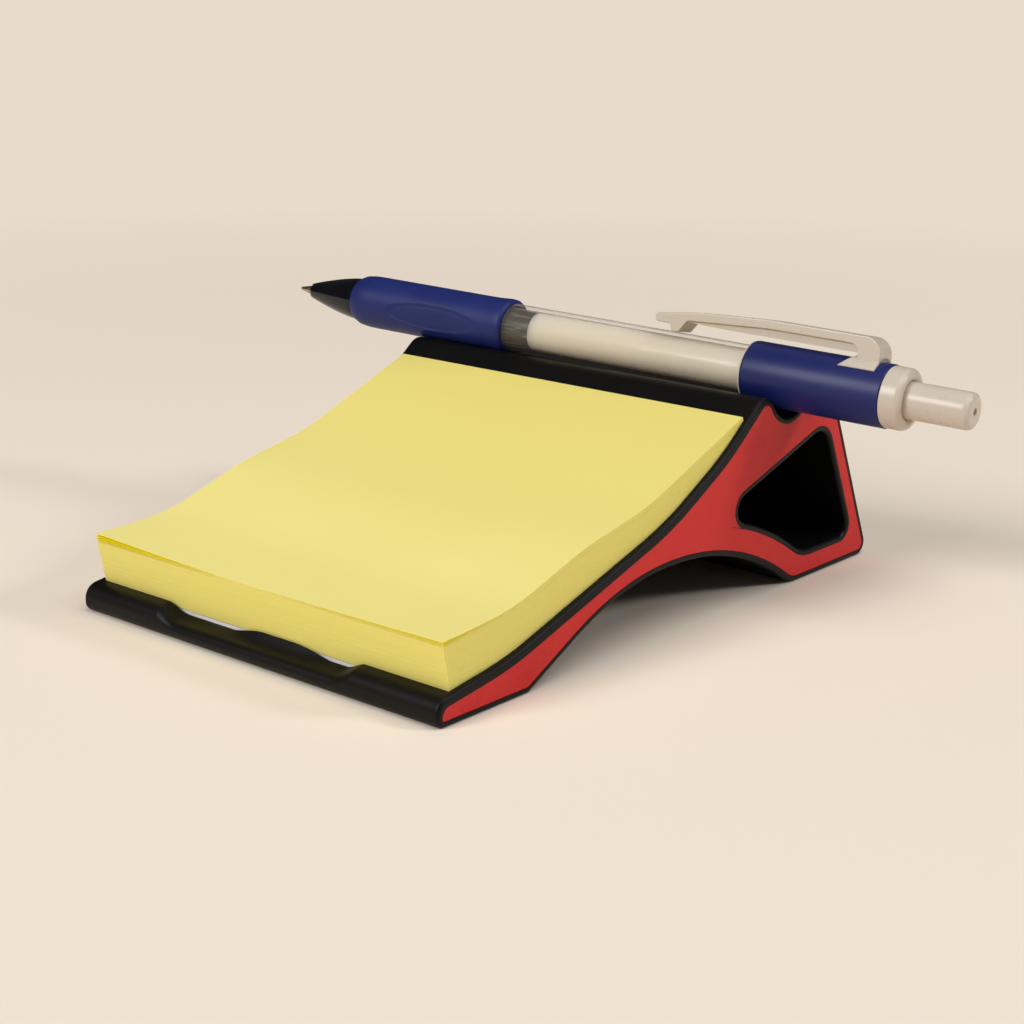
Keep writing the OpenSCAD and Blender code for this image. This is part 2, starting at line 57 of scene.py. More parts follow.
# Shader and geometry trees
class Socket:
    """An output of a node tree that can be used in sums, products and powers."""

    def __init__(self, tree, out=None):
        self.tree = tree
        self.out = out

    def node(self, kind, settings=None, inputs=None, output=0):
        """Adds a node: its settings first, then the values or links of its inputs."""
        made = self.tree.nodes.new(kind)
        for name, value in (settings or {}).items():
            setattr(made, name, value)
        for key, value in (inputs or {}).items():
            target = made.inputs[key]
            if isinstance(value, Socket):
                self.tree.links.new(value.out, target)
            else:
                target.default_value = value
        return Socket(self.tree, made.outputs[output])

    def math(self, operation, first, second):
        return self.node("ShaderNodeMath", {"operation": operation}, {0: first, 1: second})

    def __add__(self, other):
        return self.math("ADD", self, other)

    def __radd__(self, other):
        return self.math("ADD", other, self)

    def __sub__(self, other):
        return self.math("SUBTRACT", self, other)

    def __rsub__(self, other):
        return self.math("SUBTRACT", other, self)

    def __mul__(self, other):
        return self.math("MULTIPLY", self, other)

    def __rmul__(self, other):
        return self.math("MULTIPLY", other, self)

    def __truediv__(self, other):
        return self.math("DIVIDE", self, other)

    def __rtruediv__(self, other):
        return self.math("DIVIDE", other, self)

    def __pow__(self, other):
        return self.math("POWER", self, other)

    def __rpow__(self, other):
        return self.math("POWER", other, self)

    def vector(self, operation, first, second=None):
        """Vector Math; the second value is a number where the operation is SCALE."""
        inputs = {0: first}
        if second is not None:
            inputs["Scale" if operation == "SCALE" else 1] = second
        return self.node("ShaderNodeVectorMath", {"operation": operation}, inputs)

    def spread(self, low, high, to_low=0.0, to_high=1.0):
        """Maps low..high to to_low..to_high and holds it there."""
        return self.node("ShaderNodeMapRange", {"clamp": True},
                         {"Value": self, "From Min": low, "From Max": high,
                          "To Min": to_low, "To Max": to_high})

    def place(self):
        """The object's own coordinates."""
        return self.node("ShaderNodeTexCoord", output=3)

    def noise(self, scale, detail=2.0, roughness=0.5, stretch=None):
        """Noise on the object's own coordinates, in grains per metre."""
        place = self.place()
        if stretch:
            place = self.vector("MULTIPLY", place, stretch)
        return self.node("ShaderNodeTexNoise", None,
                         {"Vector": place, "Scale": scale, "Detail": detail, "Roughness": roughness})

    def blend(self, first, second, factor):
        """Mixes two colours."""
        return self.node("ShaderNodeMix", {"data_type": "RGBA"}, {0: factor, 6: first, 7: second}, 2)

    def bump(self, height, distance, strength):
        """A normal that follows a height from 0 to 1, which stands for a distance in metres."""
        return self.node("ShaderNodeBump", None,
                         {"Height": height, "Distance": distance, "Strength": strength})


def linear(colour, alpha=1.0):
    """A screen colour from 0 to 255 as the linear colour that a shader reads."""
    part = [c / 255 for c in colour]
    return tuple(c / 12.92 if c <= 0.04045 else ((c + 0.055) / 1.055) ** 2.4 for c in part) + (alpha,)


def finish(name, recipe, **fixed):
    """A material, made at its first use: recipe(start) gives what changes over it, fixed the rest."""
    if name in bpy.data.materials:
        return bpy.data.materials[name]
    mat = bpy.data.materials.new(name)
    mat.use_nodes = True
    tree = mat.node_tree
    shader = tree.nodes["Principled BSDF"]
    for key, value in fixed.items():
        shader.inputs[key.replace("_", " ")].default_value = value
    for key, value in recipe(Socket(tree)).items():
        tree.links.new(value.out, shader.inputs[key])
    return mat


def clouded(name, tones, scale, dull, dull_over=(0.0, 1.0), patches=(0.0, 1.0), grain=None, **fixed):
    """A plastic whose tone and dullness drift in soft clouds, and that may have a fine grain."""
    def recipe(start):
        cloud = start.noise(scale, 3)
        first, second = tones
        look = {
            "Base Color": start.blend(linear(first), linear(second), cloud.spread(*patches)),
            "Roughness": cloud.spread(*dull_over, *dull),
        }
        if grain:
            look["Normal"] = start.bump(start.noise(grain, 2, 0.6), 0.00002, 0.5)
        return look
    return finish(name, recipe, **fixed)


def black_plastic(props):
    return clouded("satin_black_plastic", ((9, 8, 8), (14, 12, 11)), 90,
                   (props.roughness - 0.03, props.roughness + 0.05), (0.3, 0.7), grain=5200,
                   Specular_IOR_Level=0.17)


def red_print(props):
    def recipe(start):
        cloud = start.noise(60, 3, 0.6)
        fleck = start.noise(1100, 3, 0.65)
        deep = start.blend(linear(props.deep_red), linear(props.red), cloud.spread(0.3, 0.62))
        return {
            "Base Color": start.blend(deep, linear(props.bright_red), fleck.spread(0.42, 0.7) * 0.4),
            "Roughness": fleck.spread(0.3, 0.7, 0.4, 0.55),
            "Normal": start.bump(start.noise(2600, 3, 0.7), 0.00003, 0.6),
        }
    return finish("red_print", recipe, Specular_IOR_Level=0.2)


def yellow_paper(props):
    """Darker towards the rear with painted shade; cut edges have a tone of their own, and the gaps under the
    lifted corners are painted with light as a brighter, deeper yellow.
    """
    def recipe(start):
        fibre = start.noise(1500, 4, 0.7)
        cloud = start.noise(28, 2)
        side = start.node("ShaderNodeAttribute", {"attribute_name": "edge"}, output=2)
        crease_painted_light = start.node("ShaderNodeAttribute", {"attribute_name": "crease_painted_light"}, output=2)
        along = start.node("ShaderNodeSeparateXYZ", None, {0: start.place()}, 1)
        sheet = start.blend(linear(props.yellow), linear(props.yellow_shade), cloud.spread(0.2, 0.8, 0, 0.5))
        # Painted shade: the sheets darken towards their rear, by place along y.
        face = start.blend(sheet, linear(props.yellow_painted_rear_shade), along.spread(0.012, 0.066, 0, 0.85))
        cut = start.blend(face, linear(props.yellow_edge), side)
        return {
            # Painted light: the bent gaps under the lifted corners get a brighter, deeper yellow, as if lit
            # through the paper.
            "Base Color": start.blend(cut, linear(props.yellow_crease_painted_light), crease_painted_light),
            "Roughness": fibre.spread(0.3, 0.7, 0.78, 0.9),
            "Normal": start.bump(fibre, 0.00003, 0.35),
        }
    return finish("yellow_paper", recipe, Specular_IOR_Level=0.18)


def white_card():
    def recipe(start):
        fibre = start.noise(1800, 3, 0.7)
        return {
            "Base Color": start.blend(linear((240, 237, 232)), linear((230, 226, 219)), fibre),
            "Roughness": fibre.spread(0.3, 0.7, 0.75, 0.9),
            "Normal": start.bump(fibre, 0.00002, 0.4),
        }
    return finish("white_card", recipe, Specular_IOR_Level=0.2)


def grip_rubber(props):
    return clouded("blue_rubber", (props.blue_rubber, props.blue_rubber_light), 140, (0.42, 0.52),
                   (0.3, 0.7), (0.3, 0.7), grain=6000, Specular_IOR_Level=0.28)


def blue_gloss(props):
    return clouded("blue_plastic", (props.blue, props.blue_light), 120, (0.37, 0.47),
                   Specular_IOR_Level=0.35)


def white_gloss(props):
    return clouded("white_plastic", (props.white, props.white_shade), 110, (0.23, 0.33),
                   Specular_IOR_Level=0.4)


def nose_gloss():
    return clouded("nose_plastic", ((9, 9, 14), (13, 13, 20)), 150, (0.1, 0.18), patches=(0.3, 0.7),
                   Specular_IOR_Level=0.4)


def clear_plastic(props):
    """See-through where it faces the eye, and denser towards its rims."""
    def recipe(start):
        cloud = start.noise(100, 2)
        rim = start.node("ShaderNodeLayerWeight", None, {"Blend": 0.5}, 1)
        return {
            "Base Color": start.blend(linear(props.clear), linear(props.clear_shade), cloud.spread(0.3, 0.7)),
            "Roughness": cloud.spread(0.3, 0.7, 0.05, 0.09),
            "Alpha": rim.spread(0.62, 0.97, 0.1, 0.8),
        }
    return finish("clear_plastic", recipe, Specular_IOR_Level=0.6)


def tube_plastic(props):
    def recipe(start):
        cloud = start.noise(80, 3)
        wave = start.noise(45, 2)
        return {
            "Base Color": start.blend(linear(props.tube), linear(props.tube_shade), cloud),
            "Roughness": wave.spread(0.3, 0.7, 0.3, 0.45),
        }
    return finish("milky_tube", recipe, Specular_IOR_Level=0.3, Subsurface_Weight=0.9,
                  Subsurface_Radius=(0.005, 0.0045, 0.0036), Subsurface_Scale=1.0)


def dark_plug():
    """Nearly black, with painted highlights as pale streaks along the pen."""
    def recipe(start):
        # Painted highlights: pale streaks along the pen.
        highlight_streak = start.noise(1500, 2, stretch=(0.08, 1, 1))
        return {
            "Base Color": start.blend(linear((8, 8, 10)), linear((120, 114, 104)), highlight_streak.spread(0.56, 0.7)),
            "Roughness": highlight_streak.spread(0.3, 0.7, 0.25, 0.4),
        }
    return finish("dark_plug", recipe, Specular_IOR_Level=0.3)


def tip_metal():
    """Pale brass with fine rings round the pen."""
    def recipe(start):
        ring = start.noise(900, 2, stretch=(6, 1, 1))
        brass = start.blend(linear((176, 158, 126)), linear((212, 200, 176)), ring.spread(0.3, 0.7))
        return {
            "Base Color": brass,
            "Roughness": ring.spread(0.3, 0.7, 0.18, 0.32),
            "Normal": start.bump(ring, 0.00001, 0.3),
        }
    return finish("tip_metal", recipe, Metallic=1.0)


# Mesh helpers
def new_object(name, mesh, body, mat, node=None):
    """A finished piece: linked, riding on its body and look, in place of a CAD node."""
    made = linked(name, mesh)
    mesh.materials.clear()
    mesh.materials.append(mat)
    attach(made, body)
    if node:
        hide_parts(node)


def dress(node, mat):
    """Gives a CAD node's own mesh a look."""
    mesh = frame["nodes"][node].data
    mesh.materials.clear()
    mesh.materials.append(mat)


def linked(name, data):
    """A new object in the scene."""
    made = bpy.data.objects.new(name, data)
    bpy.context.scene.collection.objects.link(made)
    return made


def taken(made):
    """The object's mesh, without the object."""
    mesh = made.data
    bpy.data.objects.remove(made)
    return mesh


def settle(made):
    """The object's evaluated mesh, with its modifiers worked in."""
    graph = bpy.context.evaluated_depsgraph_get()
    mesh = bpy.data.meshes.new_from_object(made.evaluated_get(graph), preserve_all_data_layers=True,
                                           depsgraph=graph)
    name = made.name
    bpy.data.meshes.remove(taken(made))
    mesh.name = name
    return mesh


def written(work, mesh):
    """Writes a working mesh into a mesh, and frees it."""
    work.to_mesh(mesh)
    work.free()
    return mesh


def joined(name, meshes):
    """One mesh from several."""
    work = bmesh.new()
    for mesh in meshes:
        work.from_mesh(mesh)
        bpy.data.meshes.remove(mesh)
    return written(work, bpy.data.meshes.new(name))


def welded(node, name):
    """A welded copy of a CAD node's mesh."""
    work = bmesh.new()
    work.from_mesh(frame["nodes"][node].data)
    bmesh.ops.remove_doubles(work, verts=work.verts, dist=1e-6)
    return written(work, bpy.data.meshes.new(name))


def band(work, lower, upper):
    """A closed band of faces between two rings of the same length."""
    for k in range(len(lower)):
        m = (k + 1) % len(lower)
        work.faces.new((lower[k], lower[m], upper[m], upper[k]))


def smooth(mesh, angle):
    """Smooth shading that keeps edges sharper than an angle, in degrees."""
    mesh.shade_smooth()
    mesh.set_sharp_from_angle(angle=math.radians(angle))


def weighted(name, mesh, angle):
    """Normals that follow the large faces, so flats stay flat beside their rounded edges."""
    smooth(mesh, angle)
    made = linked(name, mesh)
    modifier = made.modifiers.new("normals", "WEIGHTED_NORMAL")
    modifier.keep_sharp = True
    modifier.weight = 60
    return settle(made)


# Outlines in the plane of y and z, in millimetres
def heading(degrees):
    """The direction at an angle above the y axis."""
    return Vector((math.cos(math.radians(degrees)), math.sin(math.radians(degrees))))


def turn_of(u, v):
    """Positive where v points to the left of u."""
    return u.x * v.y - u.y * v.x


def meet(a, u, b, v):
    """Where the line through a along u meets the line through b along v."""
    return a + u * (turn_of(b - a, v) / turn_of(u, v))


def arc(a, b, e, radius, step):
    """Points of the arc that rounds the corner b between a and e."""
    if radius <= 0:
        return [b]
    u = (a - b).normalized()
    v = (e - b).normalized()
    half = u.angle(v) / 2
    mid = b + (u + v).normalized() * (radius / math.sin(half))
    first = b + u * (radius / math.tan(half)) - mid
    last = b + v * (radius / math.tan(half)) - mid
    turn = math.degrees(math.pi - 2 * half)
    way = 1 if turn_of(first, last) > 0 else -1
    count = max(3, math.ceil(turn / step - 0.01))
    start = math.degrees(math.atan2(first.y, first.x))
    return [mid + radius * heading(start + way * turn * k / count) for k in range(count + 1)]


WIDE_ARC = 20
FINE_STEP = 1.5
COARSE_STEP = 9


def rounded(corners):
    """Points of a closed outline of (y, z, radius) with its corners rounded."""
    flat = [Vector(c[:2]) for c in corners]
    points = []
    for i, corner in enumerate(corners):
        step = FINE_STEP if corner[2] > WIDE_ARC else COARSE_STEP
        points += arc(flat[i - 1], flat[i], flat[(i + 1) % len(flat)], corner[2], step)
    return points


def inset(corners, depths):
    """Moves each edge of a counter-clockwise outline inwards; edge i starts at corner i."""
    flat = [Vector(c[:2]) for c in corners]
    count = len(flat)
    if not hasattr(depths, "__len__"):
        depths = [depths] * count
    moved = []
    for i in range(count):
        u = (flat[i] - flat[i - 1]).normalized()
        v = (flat[(i + 1) % count] - flat[i]).normalized()
        before = flat[i - 1] + depths[i - 1] * Vector((-u.y, u.x))
        after = flat[i] + depths[i] * Vector((-v.y, v.x))
        place = meet(before, u, after, v)
        outer = turn_of(u, v) > 0
        radius = max(corners[i][2] - depths[i], 0.2) if outer else corners[i][2] + depths[i]
        moved.append((place.x, place.y, radius))
    return moved


def clamped(t):
    """The number held between 0 and 1."""
    return min(max(t, 0.0), 1.0)


def ease(t):
    """A smooth step from 0 to 1."""
    t = clamped(t)
    return t * t * (3 - 2 * t)


# The stand's sizes in millimetres; y is 0 just behind the nose, and FOOT_MID is the part's origin
FOOT_MID = 8.95
HALF_WIDTH = 39.0
EDGE_R = 0.6
NOSE = -1.0
NOSE_TOP = 4.3
NOSE_R = 2.6
LIP_Y = 2.35
RAMP_FOOT = (14.6, 6.47)
RAMP_BEND = (53.2, 18.6)
SHELF_Z = 32.6
REAR_Y = 115.2
REAR_LEAN = 24.4
REAR_FOOT = 89.5
REAR_WALL = 4.4
REAR_FLOOR = 5
ARCH_HEIGHT = 11.3
ARCH_R = 59.8
ARCH_MID = Vector((54.35, ARCH_HEIGHT - ARCH_R))
STRUT = 5.9
STRUT_FROM = 14.15
STRUT_TO = 32.6
CREST_SLOPE = 17.6
RIDGE_RISE = 38.7
GROOVE_FALL = -60
GROOVE_RISE = 30
RAMP_EDGES = (9, 10, 11, 12)
RAMP_BORDER = 1.5
SIDE_BORDER = 1.0
INLAY_DEPTH = 0.55
INLAY_GAP = 0.05
LEVEL = Vector((1, 0))


def stand_outline():
    """The stand's side outline: foot, arch, rear foot, rear face, groove, ridge, ramp and nose."""
    ridge_r, ridge = 3.3, Vector((78.9, 31.0))
    groove_r, groove = 5.4, Vector((86.5, 35.3))
    ramp_start, ramp_way = Vector(RAMP_BEND), Vector((68.2, 26.7)) - Vector(RAMP_BEND)
    shelf = Vector((0, SHELF_Z))
    rise = ridge + ridge_r * heading(RIDGE_RISE + 90)
    fall = groove + groove_r * heading(GROOVE_FALL - 90)
    back = groove + groove_r * heading(GROOVE_RISE - 90)
    ridge_top = meet(rise, heading(RIDGE_RISE), fall, heading(GROOVE_FALL))
    groove_low = meet(fall, heading(GROOVE_FALL), back, heading(GROOVE_RISE))
    shelf_front = meet(back, heading(GROOVE_RISE), shelf, LEVEL)
    shelf_back = meet(Vector((REAR_Y, 0)), heading(90 + REAR_LEAN), shelf, LEVEL)
    ramp_top = meet(ramp_start, ramp_way, rise, heading(RIDGE_RISE))
    return [(NOSE, 0, 1.5), (18.9, 0, 2.2), (41.5, ARCH_HEIGHT, 53), (72.4, ARCH_HEIGHT, ARCH_R),
            (REAR_FOOT, 0, 7), (REAR_Y, 0, 2.2), (*shelf_back, 3.5), (*shelf_front, 3.5),
            (*groove_low, groove_r), (*ridge_top, ridge_r), (*ramp_top, 50), (*RAMP_BEND, 60),
            (*RAMP_FOOT, 60), (NOSE, NOSE_TOP, NOSE_R)]


def stand_window():
    """The window: its lower edge is concentric with the arch, its rear edge follows the rear face."""
    bend_r = ARCH_R + STRUT
    half = math.radians((STRUT_TO - STRUT_FROM) / 2)
    bend = ARCH_MID + heading(90 - (STRUT_FROM + STRUT_TO) / 2) * (bend_r / math.cos(half))
    rear = Vector((REAR_Y, 0)) - REAR_WALL * heading(REAR_LEAN)
    up = heading(90 + REAR_LEAN)
    top = Vector((96.5, 25.8))
    floor = Vector((0, REAR_FLOOR))
    low = meet(floor, LEVEL, bend, heading(-STRUT_TO))
    back = meet(floor, LEVEL, rear, up)
    crest = meet(top, heading(CREST_SLOPE), rear, up)
    tip = meet(top, heading(CREST_SLOPE), bend, heading(180 - STRUT_FROM))
    return [(*low, 9), (*back, 1.9), (*crest, 3.7), (*tip, 2.3), (*bend, bend_r)]


def on_stand(x, point):
    """A point (y, z) of an outline at x, in metres from the part's origin."""
    return Vector((x, point[0] - FOOT_MID, point[1])) * MM


def ring_solid(name, loops, place=on_stand):
    """A closed solid through loops of equal length, each (x, points); the ends are flat."""
    work = bmesh.new()
    rings = [[work.verts.new(place(x, p)) for p in points] for x, points in loops]
    for lower, upper in zip(rings, rings[1:]):
        band(work, lower, upper)
    work.faces.new(rings[0][::-1])
    work.faces.new(rings[-1])
    bmesh.ops.recalc_face_normals(work, faces=work.faces)
    return linked(name, written(work, bpy.data.meshes.new(name)))


def eased_solid(name, corners, way):
    """A slab with rounded side edges (way 1), or a hole's cutter that opens out at the sides (way -1)."""
    side = []
    for lean in np.radians(np.linspace(0, 90, 5)):
        side.append((HALF_WIDTH - EDGE_R * (1 - math.sin(lean)), way * EDGE_R * (1 - math.cos(lean))))
    if way < 0:
        side.append((HALF_WIDTH + 1, -EDGE_R))
    stations = [(-x, depth) for x, depth in side[::-1]] + side
    return ring_solid(name, [(x, rounded(inset(corners, depth))) for x, depth in stations])


def carved(made, cutters):
    """The solid's mesh less its cutters."""
    for cutter in cutters:
        modifier = made.modifiers.new(cutter.name, "BOOLEAN")
        modifier.operation = "DIFFERENCE"
        modifier.solver = "EXACT"
        modifier.object = cutter
    mesh = settle(made)
    for cutter in cutters:
        bpy.data.meshes.remove(taken(cutter))
    work = bmesh.new()
    work.from_mesh(mesh)
    bmesh.ops.remove_doubles(work, verts=work.verts, dist=2e-6)
    bmesh.ops.dissolve_degenerate(work, edges=work.edges, dist=1e-6)
    return written(work, mesh)


def inlay_field(name, gap, low, high):
    """The field of a side inlay between two values of x, with a gap round it."""
    corners = stand_outline()
    edges = [(RAMP_BORDER if i in RAMP_EDGES else SIDE_BORDER) + gap for i in range(len(corners))]
    outer = rounded(inset(corners, edges))
    hole = rounded(inset(stand_window(), -SIDE_BORDER - gap))
    solid = ring_solid(name, [(low, outer), (high, outer)])
    reach = sorted((low * 1.5 - high * 0.5, high * 1.5 - low * 0.5))
    cutter = ring_solid(name + "_hole", [(reach[0], hole), (reach[1], hole)])
    return linked(name, carved(solid, [cutter]))


# The pad's top line is the S-curve that the tray's floor and every sheet follow
PAD_HALF = 37.9
PAD_GAP = 0.1
PAD_THICK = 8.3
CARD_THICK = 0.5
CARD_GAP = 0.02
PAD_FOOT = 2.9
PAD_TOP = ((1.3, 11.9, 0), (16.3, 13.4, 50), (32.7, 18.8, 45), (48.6, 22, 45), (73.96, 31.9, 0))
PAD_ROWS = 90


def pad_curve(depth, front):
    """The pad's top line moved down across itself by a depth, starting at a given y."""
    flat = [Vector(c[:2]) for c in PAD_TOP]
    last = len(flat) - 1
    steps = [(flat[i + 1] - flat[i]).normalized() for i in range(last)]
    low = [Vector((u.y, -u.x)) * depth for u in steps]
    moved = [flat[0] + low[0]]
    for i in range(1, last):
        moved.append(meet(flat[i - 1] + low[i - 1], steps[i - 1], flat[i] + low[i], steps[i]))
    moved.append(flat[last] + low[-1])
    points = [moved[0]]
    for i in range(1, last):
        hollow = turn_of(steps[i - 1], steps[i]) > 0
        radius = PAD_TOP[i][2] + (depth if hollow else -depth)
        points += arc(moved[i - 1], moved[i], moved[i + 1], radius, FINE_STEP)
    points.append(moved[last])
    points[0] = meet(points[0], points[1] - points[0], Vector((front, 0)), Vector((0, 1)))
    return points


def layer_line(depth, front):
    """A layer's line through the pad in even steps, in metres from the part's origin."""
    line = np.array([tuple(p) for p in pad_curve(depth, front)])
    along = np.concatenate([[0], np.cumsum(np.hypot(*np.diff(line, axis=0).T))])
    at = np.linspace(0, along[-1], PAD_ROWS)
    even = np.stack([np.interp(at, along, line[:, k]) for k in range(2)], -1)
    return (even - (FOOT_MID, 0)) * MM


def tray_cutter():
    """All that lies above the tray's floor, from the lip to a stop just behind the pad."""
    bed = pad_curve(PAD_THICK + CARD_THICK, LIP_Y)
    rear_up = (Vector(PAD_TOP[-1][:2]) - bed[-1]).normalized()
    stop = bed[-1] + 3 * PAD_GAP * Vector((rear_up.y, -rear_up.x))
    points = bed + [stop, stop + 70 * rear_up, Vector((LIP_Y, 70))]
    half = PAD_HALF + PAD_GAP
    return ring_solid("tray_cutter", [(-half, points), (half, points)])


# The finger notch: the nose lowered and its edge sharper, with a hump that rises to the notes
NOTCH_HALF = 22.6
NOTCH_END = 5.2
NOTCH_DROP = 1.8
NOTCH_TAPER = 0.25
NOTCH_R = 1.3
NOTCH_CLEAR = 0.2
NOTCH_ROOF = 8
HUMP_X = 3.6
HUMP_HALF = 12.5
HUMP_FLAT = 3.2
HUMP_RISE = 1.4
HUMP_REACH = 1.9


def notch_height(x, y):
    """Height of the notch's floor; beyond its ends it lies above the nose."""
    slope = math.atan2(RAMP_FOOT[1] - NOSE_TOP, RAMP_FOOT[0] - NOSE)
    into = ease((NOTCH_HALF - abs(x)) / NOTCH_END)
    radius = NOSE_R - (NOSE_R - NOTCH_R) * into
    mid_y = NOSE + radius
    mid_z = NOSE_TOP + radius * math.tan(slope) - radius / math.cos(slope)
    if y < mid_y - radius * math.sin(slope):
        z = mid_z + math.sqrt(max(radius ** 2 - (y - mid_y) ** 2, 0))
    else:
        z = NOSE_TOP + (y - NOSE) * math.tan(slope)
    lowered = NOTCH_DROP - NOTCH_TAPER * clamped((y - NOSE) / (LIP_Y - NOSE))
    drop = (lowered + NOTCH_CLEAR) * into - NOTCH_CLEAR
    along = ease((HUMP_HALF - abs(x - HUMP_X)) / (HUMP_HALF - HUMP_FLAT))
    wall = clamped((y - LIP_Y) / HUMP_REACH + 1) ** 2
    # Left of the hump the back of the floor climbs slowly to the notch's end, right of it by one small step
    lean = 0.06 * max(0.0, -11.3 - x) + 0.2 * ease((x - 8) / 4)
    return z - drop + (HUMP_RISE * along + lean * into) * wall


def notch_cutter():
    """A height field with the notch's floor under a flat roof."""
    xs = np.linspace(-NOTCH_HALF - 0.5, NOTCH_HALF + 0.5, 95)
    nose = [NOSE + NOTCH_R * (1 - math.cos(math.radians(a))) for a in range(0, 91, 10)]
    ys = [NOSE - 1] + nose + list(np.linspace(LIP_Y - HUMP_REACH, LIP_Y + 0.02, 8))
    roof = [(y, NOTCH_ROOF) for y in ys[::-1]]
    return ring_solid("notch_cutter", [(x, [(y, notch_height(x, max(y, NOSE))) for y in ys] + roof)
                                       for x in xs])


# Pen sizes in millimetres: the point is the origin, +X runs to the button and +Z is the upper side
BARREL_R = 4.37
BARREL_END = 124.8
GRIP_START = 16.0
GRIP_END = 52.1
GRIP_R = 4.93
OVAL_MID = 36.0
OVAL_HALF = 11.0
OVAL_REACH = math.radians(29)
OVAL_RIM = 0.16
SLEEVE_R = 5.32
CAP_R = 5.16
BUTTON_R = 3.1
HOLE_R = 0.66
TUBE_R = 3.45
PLUG_R = 3.4
CLIP_TURN = 10
CLIP_HALF = 2.4
CLIP_TOP = 9.1
CLIP_THICK = 1.5
CLIP_LENGTH = 43
CLIP_BEVEL = 0.25
RIB_HALF = 1.75
SADDLE = 45
FILLET = 0.12
POINT_SET_BACK = 0.06


def pen_matrix():
    """From the pen's own axes to the part's: the joint gives the way, the CAD tip the point."""
    way = -Vector(frame["joints"][0]["axis"]).normalized()
    verts = np.array([tuple(v.co) for v in frame["nodes"]["pen_tip"].data.vertices])
    along = verts @ np.array(way)
    mid = verts[along > along.max() - 1e-5].mean(0)
    tip = Vector(mid) - way * (float(along.max()) - float(along.min()))
    across = Vector((-way.y, way.x, 0)).normalized()
    up = way.cross(across)
    turn = Matrix((way, across, up)).transposed().to_4x4()
    return Matrix.Translation(tip) @ turn @ Matrix.Translation((-POINT_SET_BACK * MM, 0, 0))


def span(node):
    """First and last station of a CAD node along the pen."""
    back = pen_matrix().inverted()
    along = [(back @ v.co).x / MM for v in frame["nodes"][node].data.vertices]
    return min(along), max(along)


def filleted(profile):
    """Rounds the corners of a closed profile of (station, radius, fillet factor)."""
    out = []
    for i, corner in enumerate(profile):
        b = Vector(corner[:2])
        u = Vector(profile[i - 1][:2]) - b
        v = Vector(profile[(i + 1) % len(profile)][:2]) - b
        size = FILLET * (corner[2] if len(corner) > 2 else 1)
        if size <= 0 or u.length < 1e-9 or v.length < 1e-9 or abs(u.angle(v) - math.pi) < 0.05:
            out.append(b)
            continue
        cut = min(size / math.tan(u.angle(v) / 2), u.length * 0.45, v.length * 0.45)
        p = b + u.normalized() * cut
        q = b + v.normalized() * cut
        for t in np.linspace(0, 1, 5):
            out.append(p * (1 - t) ** 2 + b * 2 * t * (1 - t) + q * t ** 2)
    return out


def turned(name, profile, around=96, shape=None):
    """A closed profile turned round the pen's axis; shape may change its radius at each angle."""
    place = pen_matrix()
    work = bmesh.new()
    rings = []
    for x, radius in filleted(profile):
        ring = []
        for k in range(around):
            angle = 2 * math.pi * k / around
            r = shape(x, radius, angle) if shape else radius
            ring.append(work.verts.new(place @ (Vector((x, r * math.cos(angle), r * math.sin(angle))) * MM)))
        rings.append(ring)
    for lower, upper in zip(rings, rings[1:] + rings[:1]):
        band(work, lower, upper)
    bmesh.ops.remove_doubles(work, verts=work.verts, dist=1e-7)
    bmesh.ops.dissolve_degenerate(work, edges=work.edges, dist=1e-8)
    bmesh.ops.recalc_face_normals(work, faces=work.faces)
    mesh = written(work, bpy.data.meshes.new(name))
    smooth(mesh, 35)
    return mesh


# Settings that a user would change
def tone(name, surface, default):
    """A screen colour, each part from 0 to 255."""
    return bpy.props.FloatVectorProperty(
        name=name, description="Screen colour of " + surface, size=3, default=default)


def length(name, description, default, most):
    """A small length in metres."""
    return bpy.props.FloatProperty(
        name=name, description=description, default=default, unit="LENGTH", min=0, max=most)


def turning(name, description, default):
    """An angle of the camera."""
    return bpy.props.FloatProperty(name=name, description=description, default=default, subtype="ANGLE")


class StandSettings(bpy.types.PropertyGroup):
    roughness: bpy.props.FloatProperty(
        name="Plastic roughness", description="How dull the black plastic is", default=0.42, min=0.1, max=0.9)
    red: tone("Red", "the side panels", (209, 46, 45))
    bright_red: tone("Bright red", "the flecks in the print", (220, 58, 55))
    deep_red: tone("Deep red", "the darker clouds in the print", (192, 36, 37))


class PadSettings(bpy.types.PropertyGroup):
    sheets: bpy.props.IntProperty(
        name="Sheets", description="Number of sheets in the block", default=72, min=10, max=200)
    curled: bpy.props.IntProperty(
        name="Curled sheets", description="Number of top sheets whose front corners lift",
        default=4, min=1, max=8)
    seed: bpy.props.IntProperty(name="Seed", description="Choice of which sheets lie out of line", default=7)
    curl: length("Curl", "How far the top sheet's left front corner lifts", 0.0011, 0.003)
    drift: length("Drift", "How far single sheets lie out of line", 0.00003, 0.0005)
    card_gap: length("Gap over the card", "Dark gap between the lowest sheet and the card", 0.0002, 0.001)
    yellow: tone("Yellow", "the sheets", (242, 228, 141))
    yellow_shade: tone("Yellow shade", "the sheets' slightly deeper patches", (234, 219, 126))
    # Painted shade: the colour the sheets darken to towards their rear.
    yellow_painted_rear_shade: tone("Yellow back", "the sheets along their sticky rear edge", (229, 213, 116))
    yellow_edge: tone("Yellow edge", "the cut edges", (239, 225, 124))
    # Painted light: the brighter, deeper yellow of the gaps under the lifted corners.
    yellow_crease_painted_light: tone("Yellow crease", "the sheets under the lifted corners", (250, 234, 24))


